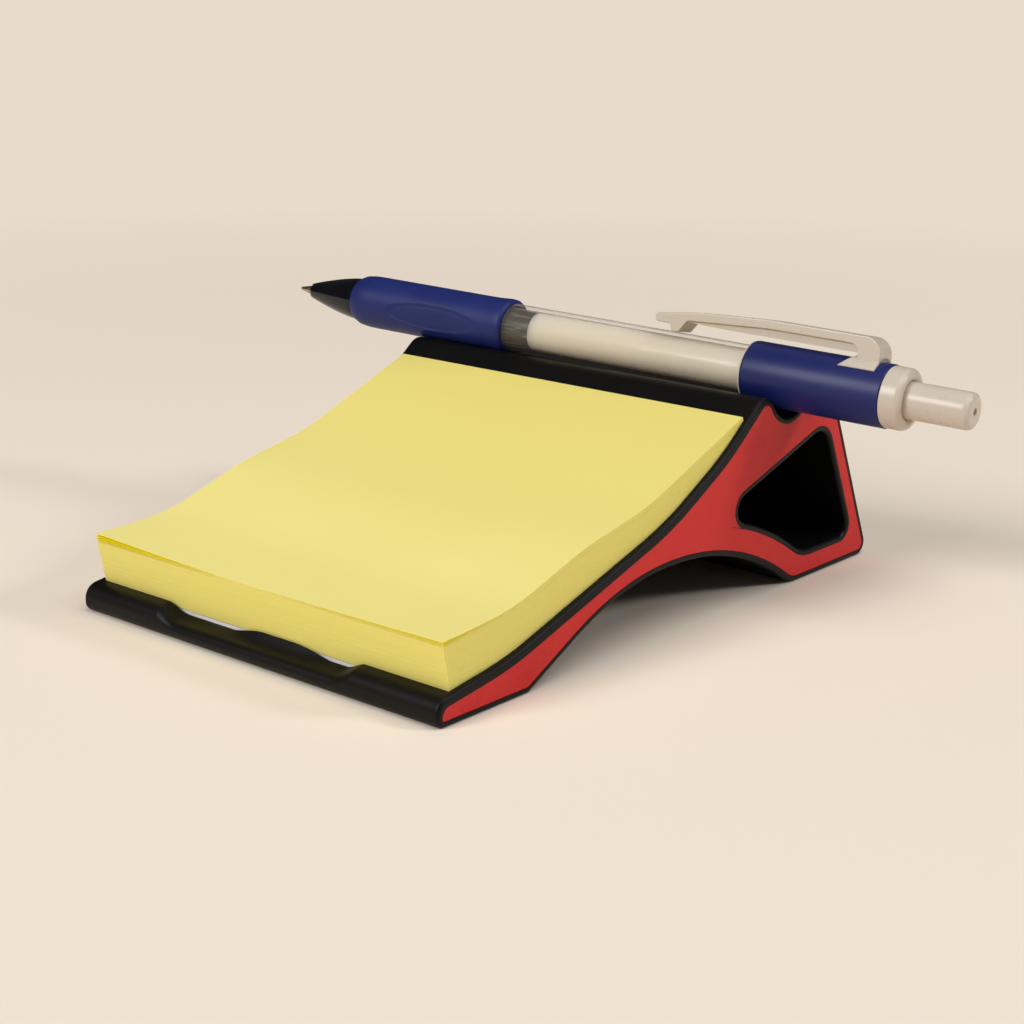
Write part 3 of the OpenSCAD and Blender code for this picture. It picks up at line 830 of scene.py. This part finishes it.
class PenSettings(bpy.types.PropertyGroup):
    blue: tone("Blue", "the sleeve", (21, 31, 90))
    blue_light: tone("Light blue", "the sleeve's paler patches", (25, 36, 98))
    blue_rubber: tone("Rubber blue", "the grip", (26, 37, 98))
    blue_rubber_light: tone("Light rubber blue", "the grip's paler patches", (30, 42, 105))
    white: tone("White", "the clip, cap and button", (209, 196, 181))
    white_shade: tone("White shade", "their slightly deeper patches", (205, 192, 177))
    tube: tone("Tube", "the ink tube", (240, 228, 210))
    tube_shade: tone("Tube shade", "the tube's deeper patches", (235, 222, 200))
    clear: tone("Clear", "the clear barrel's wall", (196, 186, 172))
    clear_shade: tone("Clear shade", "the wall's deeper patches", (184, 174, 160))
    button_short: length("Button short", "How much less than its full travel the button stands out",
                         0.0008, 0.002)
    recess: length("Recess", "Depth of the oval recess in the grip", 0.00045, 0.001)


class StageSettings(bpy.types.PropertyGroup):
    camera_place: bpy.props.FloatVectorProperty(
        name="Camera place", description="Where the camera stands", size=3, subtype="TRANSLATION",
        unit="LENGTH", default=(0.21247, -0.20077, 0.10547))
    azimuth: turning("Azimuth", "Turn of the camera round the object", 0.699187)
    pitch: turning("Pitch", "How far the camera looks down", 0.277941)
    roll: turning("Roll", "Tilt of the picture", 0.011964)
    lens: bpy.props.FloatProperty(
        name="Lens", description="Focal length of the camera, in millimetres", default=69.92, min=10, max=300)
    floor_lit: tone("Lit floor", "the floor where the lamps light it", (245, 231, 214))
    floor_colour: tone("Floor", "the floor", (233, 219, 203))


# Stand
class NOTES_OT_stand(bpy.types.Operator):
    """Models the one-piece black stand, with its window, tray, finger notch and inlay pockets"""
    bl_idname = "notes.stand"
    bl_label = "Stand"

    def execute(self, context):
        cutters = [eased_solid("window_cutter", stand_window(), -1), tray_cutter(), notch_cutter()]
        for side in (1, -1):
            cutters.append(inlay_field("pocket", 0.0, side * (HALF_WIDTH - INLAY_DEPTH),
                                       side * (HALF_WIDTH + 1)))
        slab = eased_solid("stand_shell", stand_outline(), 1)
        mesh = weighted("stand_shell", carved(slab, cutters), 30)
        new_object("stand_shell", mesh, STAND, black_plastic(context.scene.notes_stand), "frame")
        return {"FINISHED"}


class NOTES_OT_inlays(bpy.types.Operator):
    """Models the two red panels in the stand's sides"""
    bl_idname = "notes.inlays"
    bl_label = "Side inlays"

    def execute(self, context):
        mat = red_print(context.scene.notes_stand)
        for node, side in (("inlay_left", -1), ("inlay_right", 1)):
            name = node + "_panel"
            field = inlay_field(name, INLAY_GAP, side * (HALF_WIDTH - INLAY_DEPTH),
                                side * (HALF_WIDTH - INLAY_GAP))
            new_object(name, weighted(name, taken(field), 30), STAND, mat, node)
        return {"FINISHED"}


# Notes
SHEET_SHARE = 0.97
CURL_REACH = 0.3
CURL_RIGHT = 0.35
CURL_FLATNESS = 1.3
# Strength of the painted light in the bent faces under the lifted corners.
CREASE_PAINTED_LIGHT = 3.5


def corner_curl(along, across):
    """Share of the full curl at a place on a sheet, along from its front and across from -1 to 1."""
    reach = max(0.0, 1 - along / CURL_REACH) ** 2
    left = clamped((-across - 0.1) / 0.9) ** CURL_FLATNESS
    right = CURL_RIGHT * clamped((across + 0.1) / 1.1) ** CURL_FLATNESS
    return reach * max(left, right)


def sheet_mesh(name, lower, upper, half, columns, sheets):
    """The lowest sheet; each point keeps its way to the pad's top (lift) and its share of the curl."""
    rise = upper - lower
    xs = np.linspace(-half, half, columns + 1)
    rows = len(lower)
    ahead = np.hypot(*(lower - lower[0]).T)
    verts = []
    lifts = []
    curls = []
    for level in (0, 1):
        for i in range(rows):
            y, z = lower[i] + rise[i] * SHEET_SHARE / sheets * level
            for x in xs:
                verts.append((x, y, z))
                lifts.append((0, *rise[i]))
                curls.append(corner_curl(ahead[i] / ahead[-1], x / half))
    faces = []
    wide = columns + 1
    step = rows * wide
    for i in range(rows - 1):
        for j in range(columns):
            a = i * wide + j
            faces.append((a, a + wide, a + wide + 1, a + 1))
            faces.append((a + step, a + step + 1, a + step + wide + 1, a + step + wide))
    flat_faces = len(faces)
    for j in range(columns):
        faces.append((j, j + 1, j + 1 + step, j + step))
        a = (rows - 1) * wide + j
        faces.append((a + 1, a, a + step, a + step + 1))
    for i in range(rows - 1):
        a = i * wide
        faces.append((a + wide, a, a + step, a + wide + step))
        b = a + columns
        faces.append((b, b + wide, b + wide + step, b + step))
    mesh = bpy.data.meshes.new(name)
    mesh.from_pydata(verts, [], faces)
    mesh.attributes.new("lift", "FLOAT_VECTOR", "POINT").data.foreach_set("vector", np.ravel(lifts))
    mesh.attributes.new("curl", "FLOAT", "POINT").data.foreach_set("value", curls)
    side = [0.0] * flat_faces + [1.0] * (len(faces) - flat_faces)
    mesh.attributes.new("edge", "FLOAT", "FACE").data.foreach_set("value", side)
    mesh.update()
    return mesh


def stack_tree():
    """Repeats a sheet up the pad, with small shifts and lifted front corners."""
    tree = bpy.data.node_groups.new("sheet_stack", "GeometryNodeTree")
    face = tree.interface
    for name, kind in (("Sheet", "Geometry"), ("Sheets", "Int"), ("First", "Int"), ("Count", "Int"),
                       ("Curled", "Int"), ("Curl", "Float"), ("Drift", "Float"), ("Seed", "Int"),
                       ("Material", "Material")):
        face.new_socket(name, in_out="INPUT", socket_type="NodeSocket" + kind)
    face.new_socket("Stack", in_out="OUTPUT", socket_type="NodeSocketGeometry")
    start = Socket(tree)
    entry = tree.nodes.new("NodeGroupInput")
    given = {s.name: Socket(tree, s) for s in entry.outputs if s.name}
    line = start.node("GeometryNodeMeshLine", None, {"Count": given["Count"], "Offset": (0, 0, 0)})
    copies = start.node("GeometryNodeInstanceOnPoints", None, {"Points": line, "Instance": given["Sheet"]})
    order = start.node("GeometryNodeInputIndex") + given["First"]
    named = start.node("GeometryNodeStoreNamedAttribute", {"data_type": "FLOAT", "domain": "INSTANCE"},
                       {"Geometry": copies, "Name": "layer", "Value": order})
    real = start.node("GeometryNodeRealizeInstances", None, {"Geometry": named})
    layer, lift, curl = [
        start.node("GeometryNodeInputNamedAttribute", {"data_type": kind}, {"Name": name})
        for name, kind in (("layer", "FLOAT"), ("lift", "FLOAT_VECTOR"), ("curl", "FLOAT"))]
    climb = start.vector("SCALE", lift, layer / given["Sheets"])
    chance = start.node("FunctionNodeRandomValue", {"data_type": "FLOAT_VECTOR"},
                        {"Min": (-1, -1, 0), "Max": (1, 1, 0), "ID": layer, "Seed": given["Seed"]})
    stray = start.vector("SCALE", chance, given["Drift"])
    under = given["Sheets"] - 1 - layer
    raised = curl * start.math("MAXIMUM", 1 - under / given["Curled"], 0.0) ** 1.6
    bend = start.vector("SCALE", start.vector("NORMALIZE", lift), raised * given["Curl"])
    offset = start.vector("ADD", start.vector("ADD", climb, stray), bend)
    moved = start.node("GeometryNodeSetPosition", None, {"Geometry": real, "Offset": offset})
    marked = start.node("GeometryNodeStoreNamedAttribute", {"data_type": "FLOAT", "domain": "POINT"},
                        {"Geometry": moved, "Name": "bend", "Value": raised})
    look = start.node("GeometryNodeSetMaterial", None, {"Geometry": marked, "Material": given["Material"]})
    leave = tree.nodes.new("NodeGroupOutput")
    tree.links.new(look.out, leave.inputs[0])
    return tree


def stacked(name, mesh, tree, values):
    """Runs the stack on a sheet and gives the plain mesh."""
    made = linked(name, mesh)
    modifier = made.modifiers.new("stack", "NODES")
    modifier.node_group = tree
    for item in tree.interface.items_tree:
        if item.item_type == "SOCKET" and item.in_out == "INPUT" and item.name in values:
            modifier[item.identifier] = values[item.name]
    return settle(made)


def paint_crease_light(mesh, sheets):
    """Marks the bent faces for painted light in the gaps under the lifted corners, but not the upper side of
    the mesh's last sheet.
    """
    bend = np.zeros(len(mesh.vertices), np.float32)
    mesh.attributes["bend"].data.foreach_get("value", bend)
    crease_lights = [min(1.0, CREASE_PAINTED_LIGHT * sum(bend[k] for k in face.vertices) / 4) for face in mesh.polygons]
    for face in mesh.polygons[len(crease_lights) - len(crease_lights) // sheets:]:
        if face.normal.z > 0.5:
            crease_lights[face.index] = 0.0
    mesh.attributes.new("crease_painted_light", "FLOAT", "FACE").data.foreach_set("value", crease_lights)


class NOTES_OT_pad(bpy.types.Operator):
    """Lays the block of yellow sheets into the tray, with the top sheets lifting at the front"""
    bl_idname = "notes.pad"
    bl_label = "Note pad"

    def execute(self, context):
        props = context.scene.notes_pad
        lower = layer_line(PAD_THICK - props.card_gap / MM, PAD_FOOT)
        upper = layer_line(0.0, PAD_TOP[0][0])
        half = PAD_HALF * MM - props.drift
        mat = yellow_paper(props)
        tree = stack_tree()
        loose = props.curled + 2
        fixed = props.sheets - loose
        shared = {"Sheets": props.sheets, "Curled": props.curled, "Curl": props.curl,
                  "Drift": props.drift, "Seed": props.seed, "Material": mat}
        for name, columns, first, count in (("note_block", 1, 0, fixed), ("top_sheets", 36, fixed, loose)):
            sheet = sheet_mesh(name + "_sheet", lower, upper, half, columns, props.sheets)
            mesh = stacked(name, sheet, tree, {**shared, "First": first, "Count": count})
            paint_crease_light(mesh, loose)
            smooth(mesh, 40)
            new_object(name, mesh, STAND, mat, "note_pad")
        return {"FINISHED"}


class NOTES_OT_card(bpy.types.Operator):
    """Models the white card under the sheets"""
    bl_idname = "notes.card"
    bl_label = "Backing card"

    def execute(self, context):
        low = layer_line(PAD_THICK + CARD_THICK - CARD_GAP, PAD_FOOT)
        high = layer_line(PAD_THICK, PAD_FOOT)
        loop = [Vector((y / MM + FOOT_MID, z / MM)) for y, z in np.concatenate([low, high[::-1]])]
        mesh = taken(ring_solid("backing_board", [(-PAD_HALF, loop), (PAD_HALF, loop)]))
        smooth(mesh, 30)
        new_object("backing_board", mesh, STAND, white_card(), "backing_card")
        return {"FINISHED"}


# Pen
class NOTES_OT_pen_nose(bpy.types.Operator):
    """Turns the black nose cone"""
    bl_idname = "notes.pen_nose"
    bl_label = "Pen nose cone"

    def execute(self, context):
        seat = GRIP_START + 0.1
        start, reach = 3.55, 11.65
        tip_r, growth, fullness = 1.5, 2.45, 1.38
        cone = [(start + reach * t, tip_r + growth * (1 - (1 - t) ** fullness), 0)
                for t in np.linspace(0, 1, 25)]
        bore = [(seat, 3.95, 0), (seat, 3.3, 0), (19.2, 3.3), (19.2, 2.65), (12, 2.6, 0), (8, 1.9, 0),
                (6, 1.5, 0), (6, 0.9, 0)]
        mesh = turned("pen_nose", [(3.3, 0.9, 0.5), (3.3, 1.2)] + cone + bore)
        new_object("pen_nose", mesh, STAND, nose_gloss(), "pen_nose_cone")
        return {"FINISHED"}


class NOTES_OT_pen_grip(bpy.types.Operator):
    """Models the rubber grip with an oval recess on the front and on the back"""
    bl_idname = "notes.pen_grip"
    bl_label = "Pen grip"

    def execute(self, context):
        props = context.scene.notes_pen
        depth = props.recess / MM

        def ovals(x, r, angle):
            if r < GRIP_R - 0.2:
                return r
            for middle in (math.pi, 0.0):
                off = (angle - middle + math.pi) % (2 * math.pi) - math.pi
                away = math.hypot((x - OVAL_MID) / OVAL_HALF, off / OVAL_REACH)
                r -= depth * ease((1.0 - away) / OVAL_RIM) * (0.6 + 0.4 * max(0.0, 1 - away))
            return r

        front = [(0, 3.98, 0), (0, 4.1), (0.4, 4.35, 0), (1.2, 4.7, 0), (2.6, 4.88, 0)]
        rear = [(-3.2, 4.98, 0), (-2.1, 5.05, 0), (-1.3, 5.08, 0), (-0.5, 5.02), (0, 4.72), (0, 3.98, 0)]
        profile = [(GRIP_START + x, *rest) for x, *rest in front]
        profile += [(x, GRIP_R, 0) for x in np.arange(20, 48.01, 0.25)]
        profile += [(GRIP_END + x, *rest) for x, *rest in rear]
        mesh = turned("pen_grip_rubber", profile, around=192, shape=ovals)
        new_object("pen_grip_rubber", mesh, STAND, grip_rubber(props), "pen_grip")
        return {"FINISHED"}


class NOTES_OT_pen_barrel(bpy.types.Operator):
    """Turns the clear barrel"""
    bl_idname = "notes.pen_barrel"
    bl_label = "Pen barrel"

    def execute(self, context):
        front, step = GRIP_START + 0.12, GRIP_END + 0.02
        profile = [(front, 3.33, 0), (front, 3.95, 0), (step, 3.95, 0), (step, 4.22, 0),
                   (GRIP_END + 0.2, BARREL_R, 0.5), (BARREL_END, BARREL_R, 0), (BARREL_END, 3.62, 0),
                   (20.2, 3.62, 0), (20.2, 3.33, 0)]
        new_object("pen_barrel_tube", turned("pen_barrel_tube", profile, around=128), STAND,
                   clear_plastic(context.scene.notes_pen), "pen_barrel")
        return {"FINISHED"}


class NOTES_OT_pen_sleeve(bpy.types.Operator):
    """Turns the blue rear sleeve and the white collar in front of it"""
    bl_idname = "notes.pen_sleeve"
    bl_label = "Pen sleeve"

    def execute(self, context):
        props = context.scene.notes_pen
        first, last = span("pen_upper_sleeve")
        neck = first + 12
        sleeve = [(first, 4.42, 0), (first, SLEEVE_R, 3), (last, SLEEVE_R), (last, 4.77, 0), (neck, 4.77, 0),
                  (neck, 4.42, 0)]
        new_object("pen_sleeve", turned("pen_sleeve", sleeve, around=128), STAND,
                   blue_gloss(props), "pen_upper_sleeve")
        collar = [(first - 0.4, 4.4, 0), (first - 0.4, 5.1), (first - 0.02, 5.26, 0), (first - 0.02, 4.4, 0)]
        new_object("pen_collar", turned("pen_collar", collar), STAND, white_gloss(props))
        return {"FINISHED"}


class NOTES_OT_pen_clip(bpy.types.Operator):
    """Makes the white cap with its dished end, and the clip on its saddle"""
    bl_idname = "notes.pen_clip"
    bl_label = "Pen clip and cap"

    def execute(self, context):
        place = pen_matrix() @ Matrix.Rotation(math.radians(-CLIP_TURN), 4, "X")
        end = span("pen_upper_sleeve")[1]
        root = end - 2
        tip = root - CLIP_LENGTH
        under = CLIP_TOP - CLIP_THICK

        def in_side_view(y, point):
            """A point (station, height) of the clip's side view, y across the pen."""
            return place @ (Vector((point[0], y, point[1])) * MM)

        def on_sleeve(turn, point):
            """A point (station, radius) at an angle round the pen from its upper side, in degrees."""
            angle = math.radians(turn)
            return place @ (Vector((point[0], point[1] * math.sin(angle), point[1] * math.cos(angle))) * MM)

        rim_r = 1.1
        cap = [(end - 2.9, 3.25, 0), (end - 2.9, 4.6, 0), (end + 0.02, 4.6, 0), (end + 0.02, CAP_R, 2),
               (end + 2.6, CAP_R, 0)]
        for lean in np.radians(range(10, 171, 10)):
            cap.append((end + 2.6 + rim_r * math.sin(lean), CAP_R - rim_r + rim_r * math.cos(lean), 0))
        cap += [(end + 2.2, 3.3, 0), (end + 2.0, 3.25, 0)]

        outline = [(root, 4.8, 0.1), (root, CLIP_TOP, 3), (tip + 22, CLIP_TOP, 60),
                   (tip + 8, CLIP_TOP - 0.75, 40), (tip, CLIP_TOP - 1.9, 0.65),
                   (tip + 0.3, CLIP_TOP - 3.3, 0.5), (tip + 3.2, CLIP_TOP - 3.4, 0.3),
                   (tip + 3.6, 4.49, 0.3), (tip + 5, 4.49, 0.4), (tip + 6.6, under - 0.95, 1),
                   (tip + 22, under, 60), (root - 4.2, under, 1.5), (root - 3.9, 4.8, 0.1)]
        edge = [(CLIP_HALF - CLIP_BEVEL, 0), (CLIP_HALF - CLIP_BEVEL * 0.3, CLIP_BEVEL * 0.3),
                (CLIP_HALF, CLIP_BEVEL)]
        sides = [(-y, depth) for y, depth in edge[::-1]] + edge
        loops = [(y, rounded(inset(outline, depth) if depth else outline)) for y, depth in sides]
        blade = ring_solid("clip_blade", loops, in_side_view)

        rib_line = [(root - 3.9, under + 0.4), (tip + 22, under + 0.3), (tip + 6.5, under - 0.6),
                    (tip + 7, under - 1.15), (tip + 10, under - 1.3), (tip + 16, under - 1.4),
                    (root - 3.9, under - 1.4)]
        rib = ring_solid("clip_rib", [(-RIB_HALF, rib_line), (RIB_HALF, rib_line)], in_side_view)

        loops = []
        for turn in np.linspace(-SADDLE, SADDLE, 33):
            share = abs(turn) / SADDLE
            front = root - 3.7 - 2.9 * share
            high = 5.5 + 0.55 * (1 - share ** 2) ** 2
            loops.append((turn, [(root, 5.0), (root, high - 0.1), (root - 0.1, high), (front + 0.15, high),
                                 (front, high - 0.12), (front, 5.0)]))
        saddle = ring_solid("clip_saddle", loops, on_sleeve)

        meshes = [turned("pen_cap", cap), taken(blade), taken(rib), taken(saddle)]
        mesh = weighted("pen_clip", joined("pen_clip", meshes), 40)
        new_object("pen_clip", mesh, STAND, white_gloss(context.scene.notes_pen), "pen_clip_cap")
        return {"FINISHED"}


class NOTES_OT_pen_button(bpy.types.Operator):
    """Makes the push button with the small hole in its end, and dresses the cam behind it"""
    bl_idname = "notes.pen_button"
    bl_label = "Pen button"

    def execute(self, context):
        props = context.scene.notes_pen
        first, last = span("pen_push_button")
        last -= props.button_short / MM
        profile = [(first, 0, 0), (first, BUTTON_R, 1), (last, BUTTON_R, 9), (last, HOLE_R, 0.6),
                   (last - 1.4, HOLE_R, 0), (last - 1.4, 0, 0)]
        new_object("pen_button", turned("pen_button", profile), BUTTON, white_gloss(props),
                   "pen_push_button")
        dress("pen_cam", dark_plug())
        return {"FINISHED"}


class NOTES_OT_pen_refill(bpy.types.Operator):
    """Makes the ink tube, its plug and the writing point, and dresses the return spring"""
    bl_idname = "notes.pen_refill"
    bl_label = "Pen refill"

    def execute(self, context):
        # The clear barrel's wall makes the plug and the tube look this wide; the plug's front fits the spring
        first, last = span("pen_refill_plug")
        plug = [(first, 0, 0), (first, 1.1, 0.5), (first + 1.65, 1.1, 0), (first + 1.65, 1.6, 0),
                (first + 2.4, 1.9, 0), (last - 8, 1.9), (last - 6, PLUG_R), (last, PLUG_R), (last, 0, 0)]
        first, last = span("pen_ink_tube")
        tube = [(first, 0, 0), (first, TUBE_R, 0.5), (last, TUBE_R, 0.5), (last, 0, 0)]
        point = welded("pen_tip", "pen_tip_look")
        smooth(point, 32)
        for node, mesh, slot, mat in (
                ("pen_refill_plug", turned("pen_refill_plug_look", plug), "pen_plug", dark_plug()),
                ("pen_ink_tube", turned("pen_ink_tube_look", tube), "pen_tube",
                 tube_plastic(context.scene.notes_pen)),
                ("pen_tip", point, "pen_metal", tip_metal())):
            new_object(node + "_look", mesh, BUTTON, mat, node)
        dress("pen_spring", tip_metal())
        return {"FINISHED"}


# Stage
FLOOR_REACH = 12.0
FOCUS = (0, 0.05, 0.015)
FILL_LIGHT = 0.11
REFLECTED_LIGHT = 0.05


def lamp(name, place, size, watts):
    """A soft square lamp that looks at the object."""
    data = bpy.data.lights.new(name, "AREA")
    data.size = size
    data.energy = watts
    made = linked(name, data)
    made.location = place
    made.rotation_euler = (Vector(FOCUS) - Vector(place)).to_track_quat("-Z", "Y").to_euler()


def floor_material(props):
    """Lit near the object, plain floor colour far from it, so that the backdrop stays even."""
    mat = bpy.data.materials.new("floor_paper")
    mat.use_nodes = True
    tree = mat.node_tree
    tree.nodes.clear()
    start = Socket(tree)
    near = start.node("ShaderNodeVectorMath", {"operation": "DISTANCE"},
                      {0: start.place(), 1: (0, 0.05, 0)}, 1)
    lit = start.node("ShaderNodeBsdfDiffuse", None, {"Color": linear(props.floor_lit)})
    flat = start.node("ShaderNodeEmission", None, {"Color": linear(props.floor_colour), "Strength": 1.0})
    seen = start.node("ShaderNodeLightPath", output=0)
    mixed = start.node("ShaderNodeMixShader", None, {0: near.spread(0.2, 0.5) * seen, 1: lit, 2: flat})
    leave = tree.nodes.new("ShaderNodeOutputMaterial")
    tree.links.new(mixed.out, leave.inputs[0])
    return mat


def studio_world(props):
    """Weak even light, with the floor's colour where the camera sees the sky."""
    world = bpy.data.worlds.new("studio")
    world.use_nodes = True
    tree = world.node_tree
    tree.nodes.clear()
    start = Socket(tree)
    seen, glossy, clear = [start.node("ShaderNodeLightPath", output=k) for k in (0, 3, 6)]
    soft, dim, back = [
        start.node("ShaderNodeBackground", None, {"Color": colour, "Strength": strength})
        for colour, strength in (((1, 1, 1, 1), FILL_LIGHT), ((1, 1, 1, 1), REFLECTED_LIGHT),
                                 (linear(props.floor_colour), 1.0))]
    fill = start.node("ShaderNodeMixShader", None, {0: glossy, 1: soft, 2: dim})
    both = start.node("ShaderNodeMixShader", None, {0: start.math("MAXIMUM", seen, clear), 1: fill, 2: back})
    leave = tree.nodes.new("ShaderNodeOutputWorld")
    tree.links.new(both.out, leave.inputs[0])
    return world


def camera_matrix(props):
    """Where the camera stands, and its turn: azimuth, then pitch, then roll about its view."""
    sin_a, cos_a = math.sin(props.azimuth), math.cos(props.azimuth)
    sin_p, cos_p = math.sin(props.pitch), math.cos(props.pitch)
    sin_r, cos_r = math.sin(props.roll), math.cos(props.roll)
    ahead = Vector((-sin_a * cos_p, cos_a * cos_p, -sin_p))
    level = Vector((cos_a, sin_a, 0))
    high = level.cross(ahead)
    right = cos_r * level + sin_r * high
    up = -sin_r * level + cos_r * high
    turn = Matrix((right, up, -ahead)).transposed().to_4x4()
    return Matrix.Translation(Vector(props.camera_place)) @ turn


class NOTES_OT_stage(bpy.types.Operator):
    """Sets the floor, the soft lamps, the world and the camera"""
    bl_idname = "notes.stage"
    bl_label = "Stage"

    def execute(self, context):
        props = context.scene.notes_stage
        mesh = bpy.data.meshes.new("floor")
        corners = [(x * FLOOR_REACH, y * FLOOR_REACH, 0) for x, y in ((-1, -1), (1, -1), (1, 1), (-1, 1))]
        mesh.from_pydata(corners, [], [(0, 1, 2, 3)])
        mesh.materials.append(floor_material(props))
        linked("floor", mesh)
        lamp("front_softbox", (-0.5, -1.55, 1.1), 0.8, 24.0)
        lamp("rear_softbox", (1.28, 0.81, 0.82), 0.3, 7.6)
        lamp("top_softbox", (0.64, -0.02, 1.8), 1.6, 17.0)
        context.scene.world = studio_world(props)
        data = bpy.data.cameras.new("camera")
        data.lens = props.lens
        data.sensor_width = 36
        data.clip_start = 0.01
        camera = linked("camera", data)
        camera.matrix_world = camera_matrix(props)
        context.scene.camera = camera
        context.scene.view_settings.view_transform = "Standard"
        return {"FINISHED"}


class NOTES_PT_panel(bpy.types.Panel):
    """Lists the pieces and their settings"""
    bl_idname = "NOTES_PT_panel"
    bl_label = "Note dispenser"
    bl_space_type = "VIEW_3D"
    bl_region_type = "UI"
    bl_category = "Notes"

    def draw(self, context):
        for group in GROUPS:
            box = self.layout.box()
            settings = getattr(context.scene, group)
            for name in settings.__annotations__:
                box.prop(settings, name)
        for operator in OPERATORS:
            self.layout.operator(operator.bl_idname)


GROUPS = {"notes_stand": StandSettings, "notes_pad": PadSettings, "notes_pen": PenSettings,
          "notes_stage": StageSettings}
OPERATORS = (NOTES_OT_stand, NOTES_OT_inlays, NOTES_OT_pad, NOTES_OT_card, NOTES_OT_pen_nose,
             NOTES_OT_pen_grip, NOTES_OT_pen_barrel, NOTES_OT_pen_sleeve, NOTES_OT_pen_clip,
             NOTES_OT_pen_button, NOTES_OT_pen_refill, NOTES_OT_stage)
CLASSES = (*GROUPS.values(), *OPERATORS, NOTES_PT_panel)


def register():
    for kind in CLASSES:
        bpy.utils.register_class(kind)
    for name, group in GROUPS.items():
        setattr(bpy.types.Scene, name, bpy.props.PointerProperty(type=group))


def unregister():
    for name in GROUPS:
        delattr(bpy.types.Scene, name)
    for kind in reversed(CLASSES):
        bpy.utils.unregister_class(kind)


def main():
    register()
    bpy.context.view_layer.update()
    for operator in OPERATORS:
        group, name = operator.bl_idname.split(".")
        getattr(getattr(bpy.ops, group), name)()


if __name__ == "__main__":
    main()
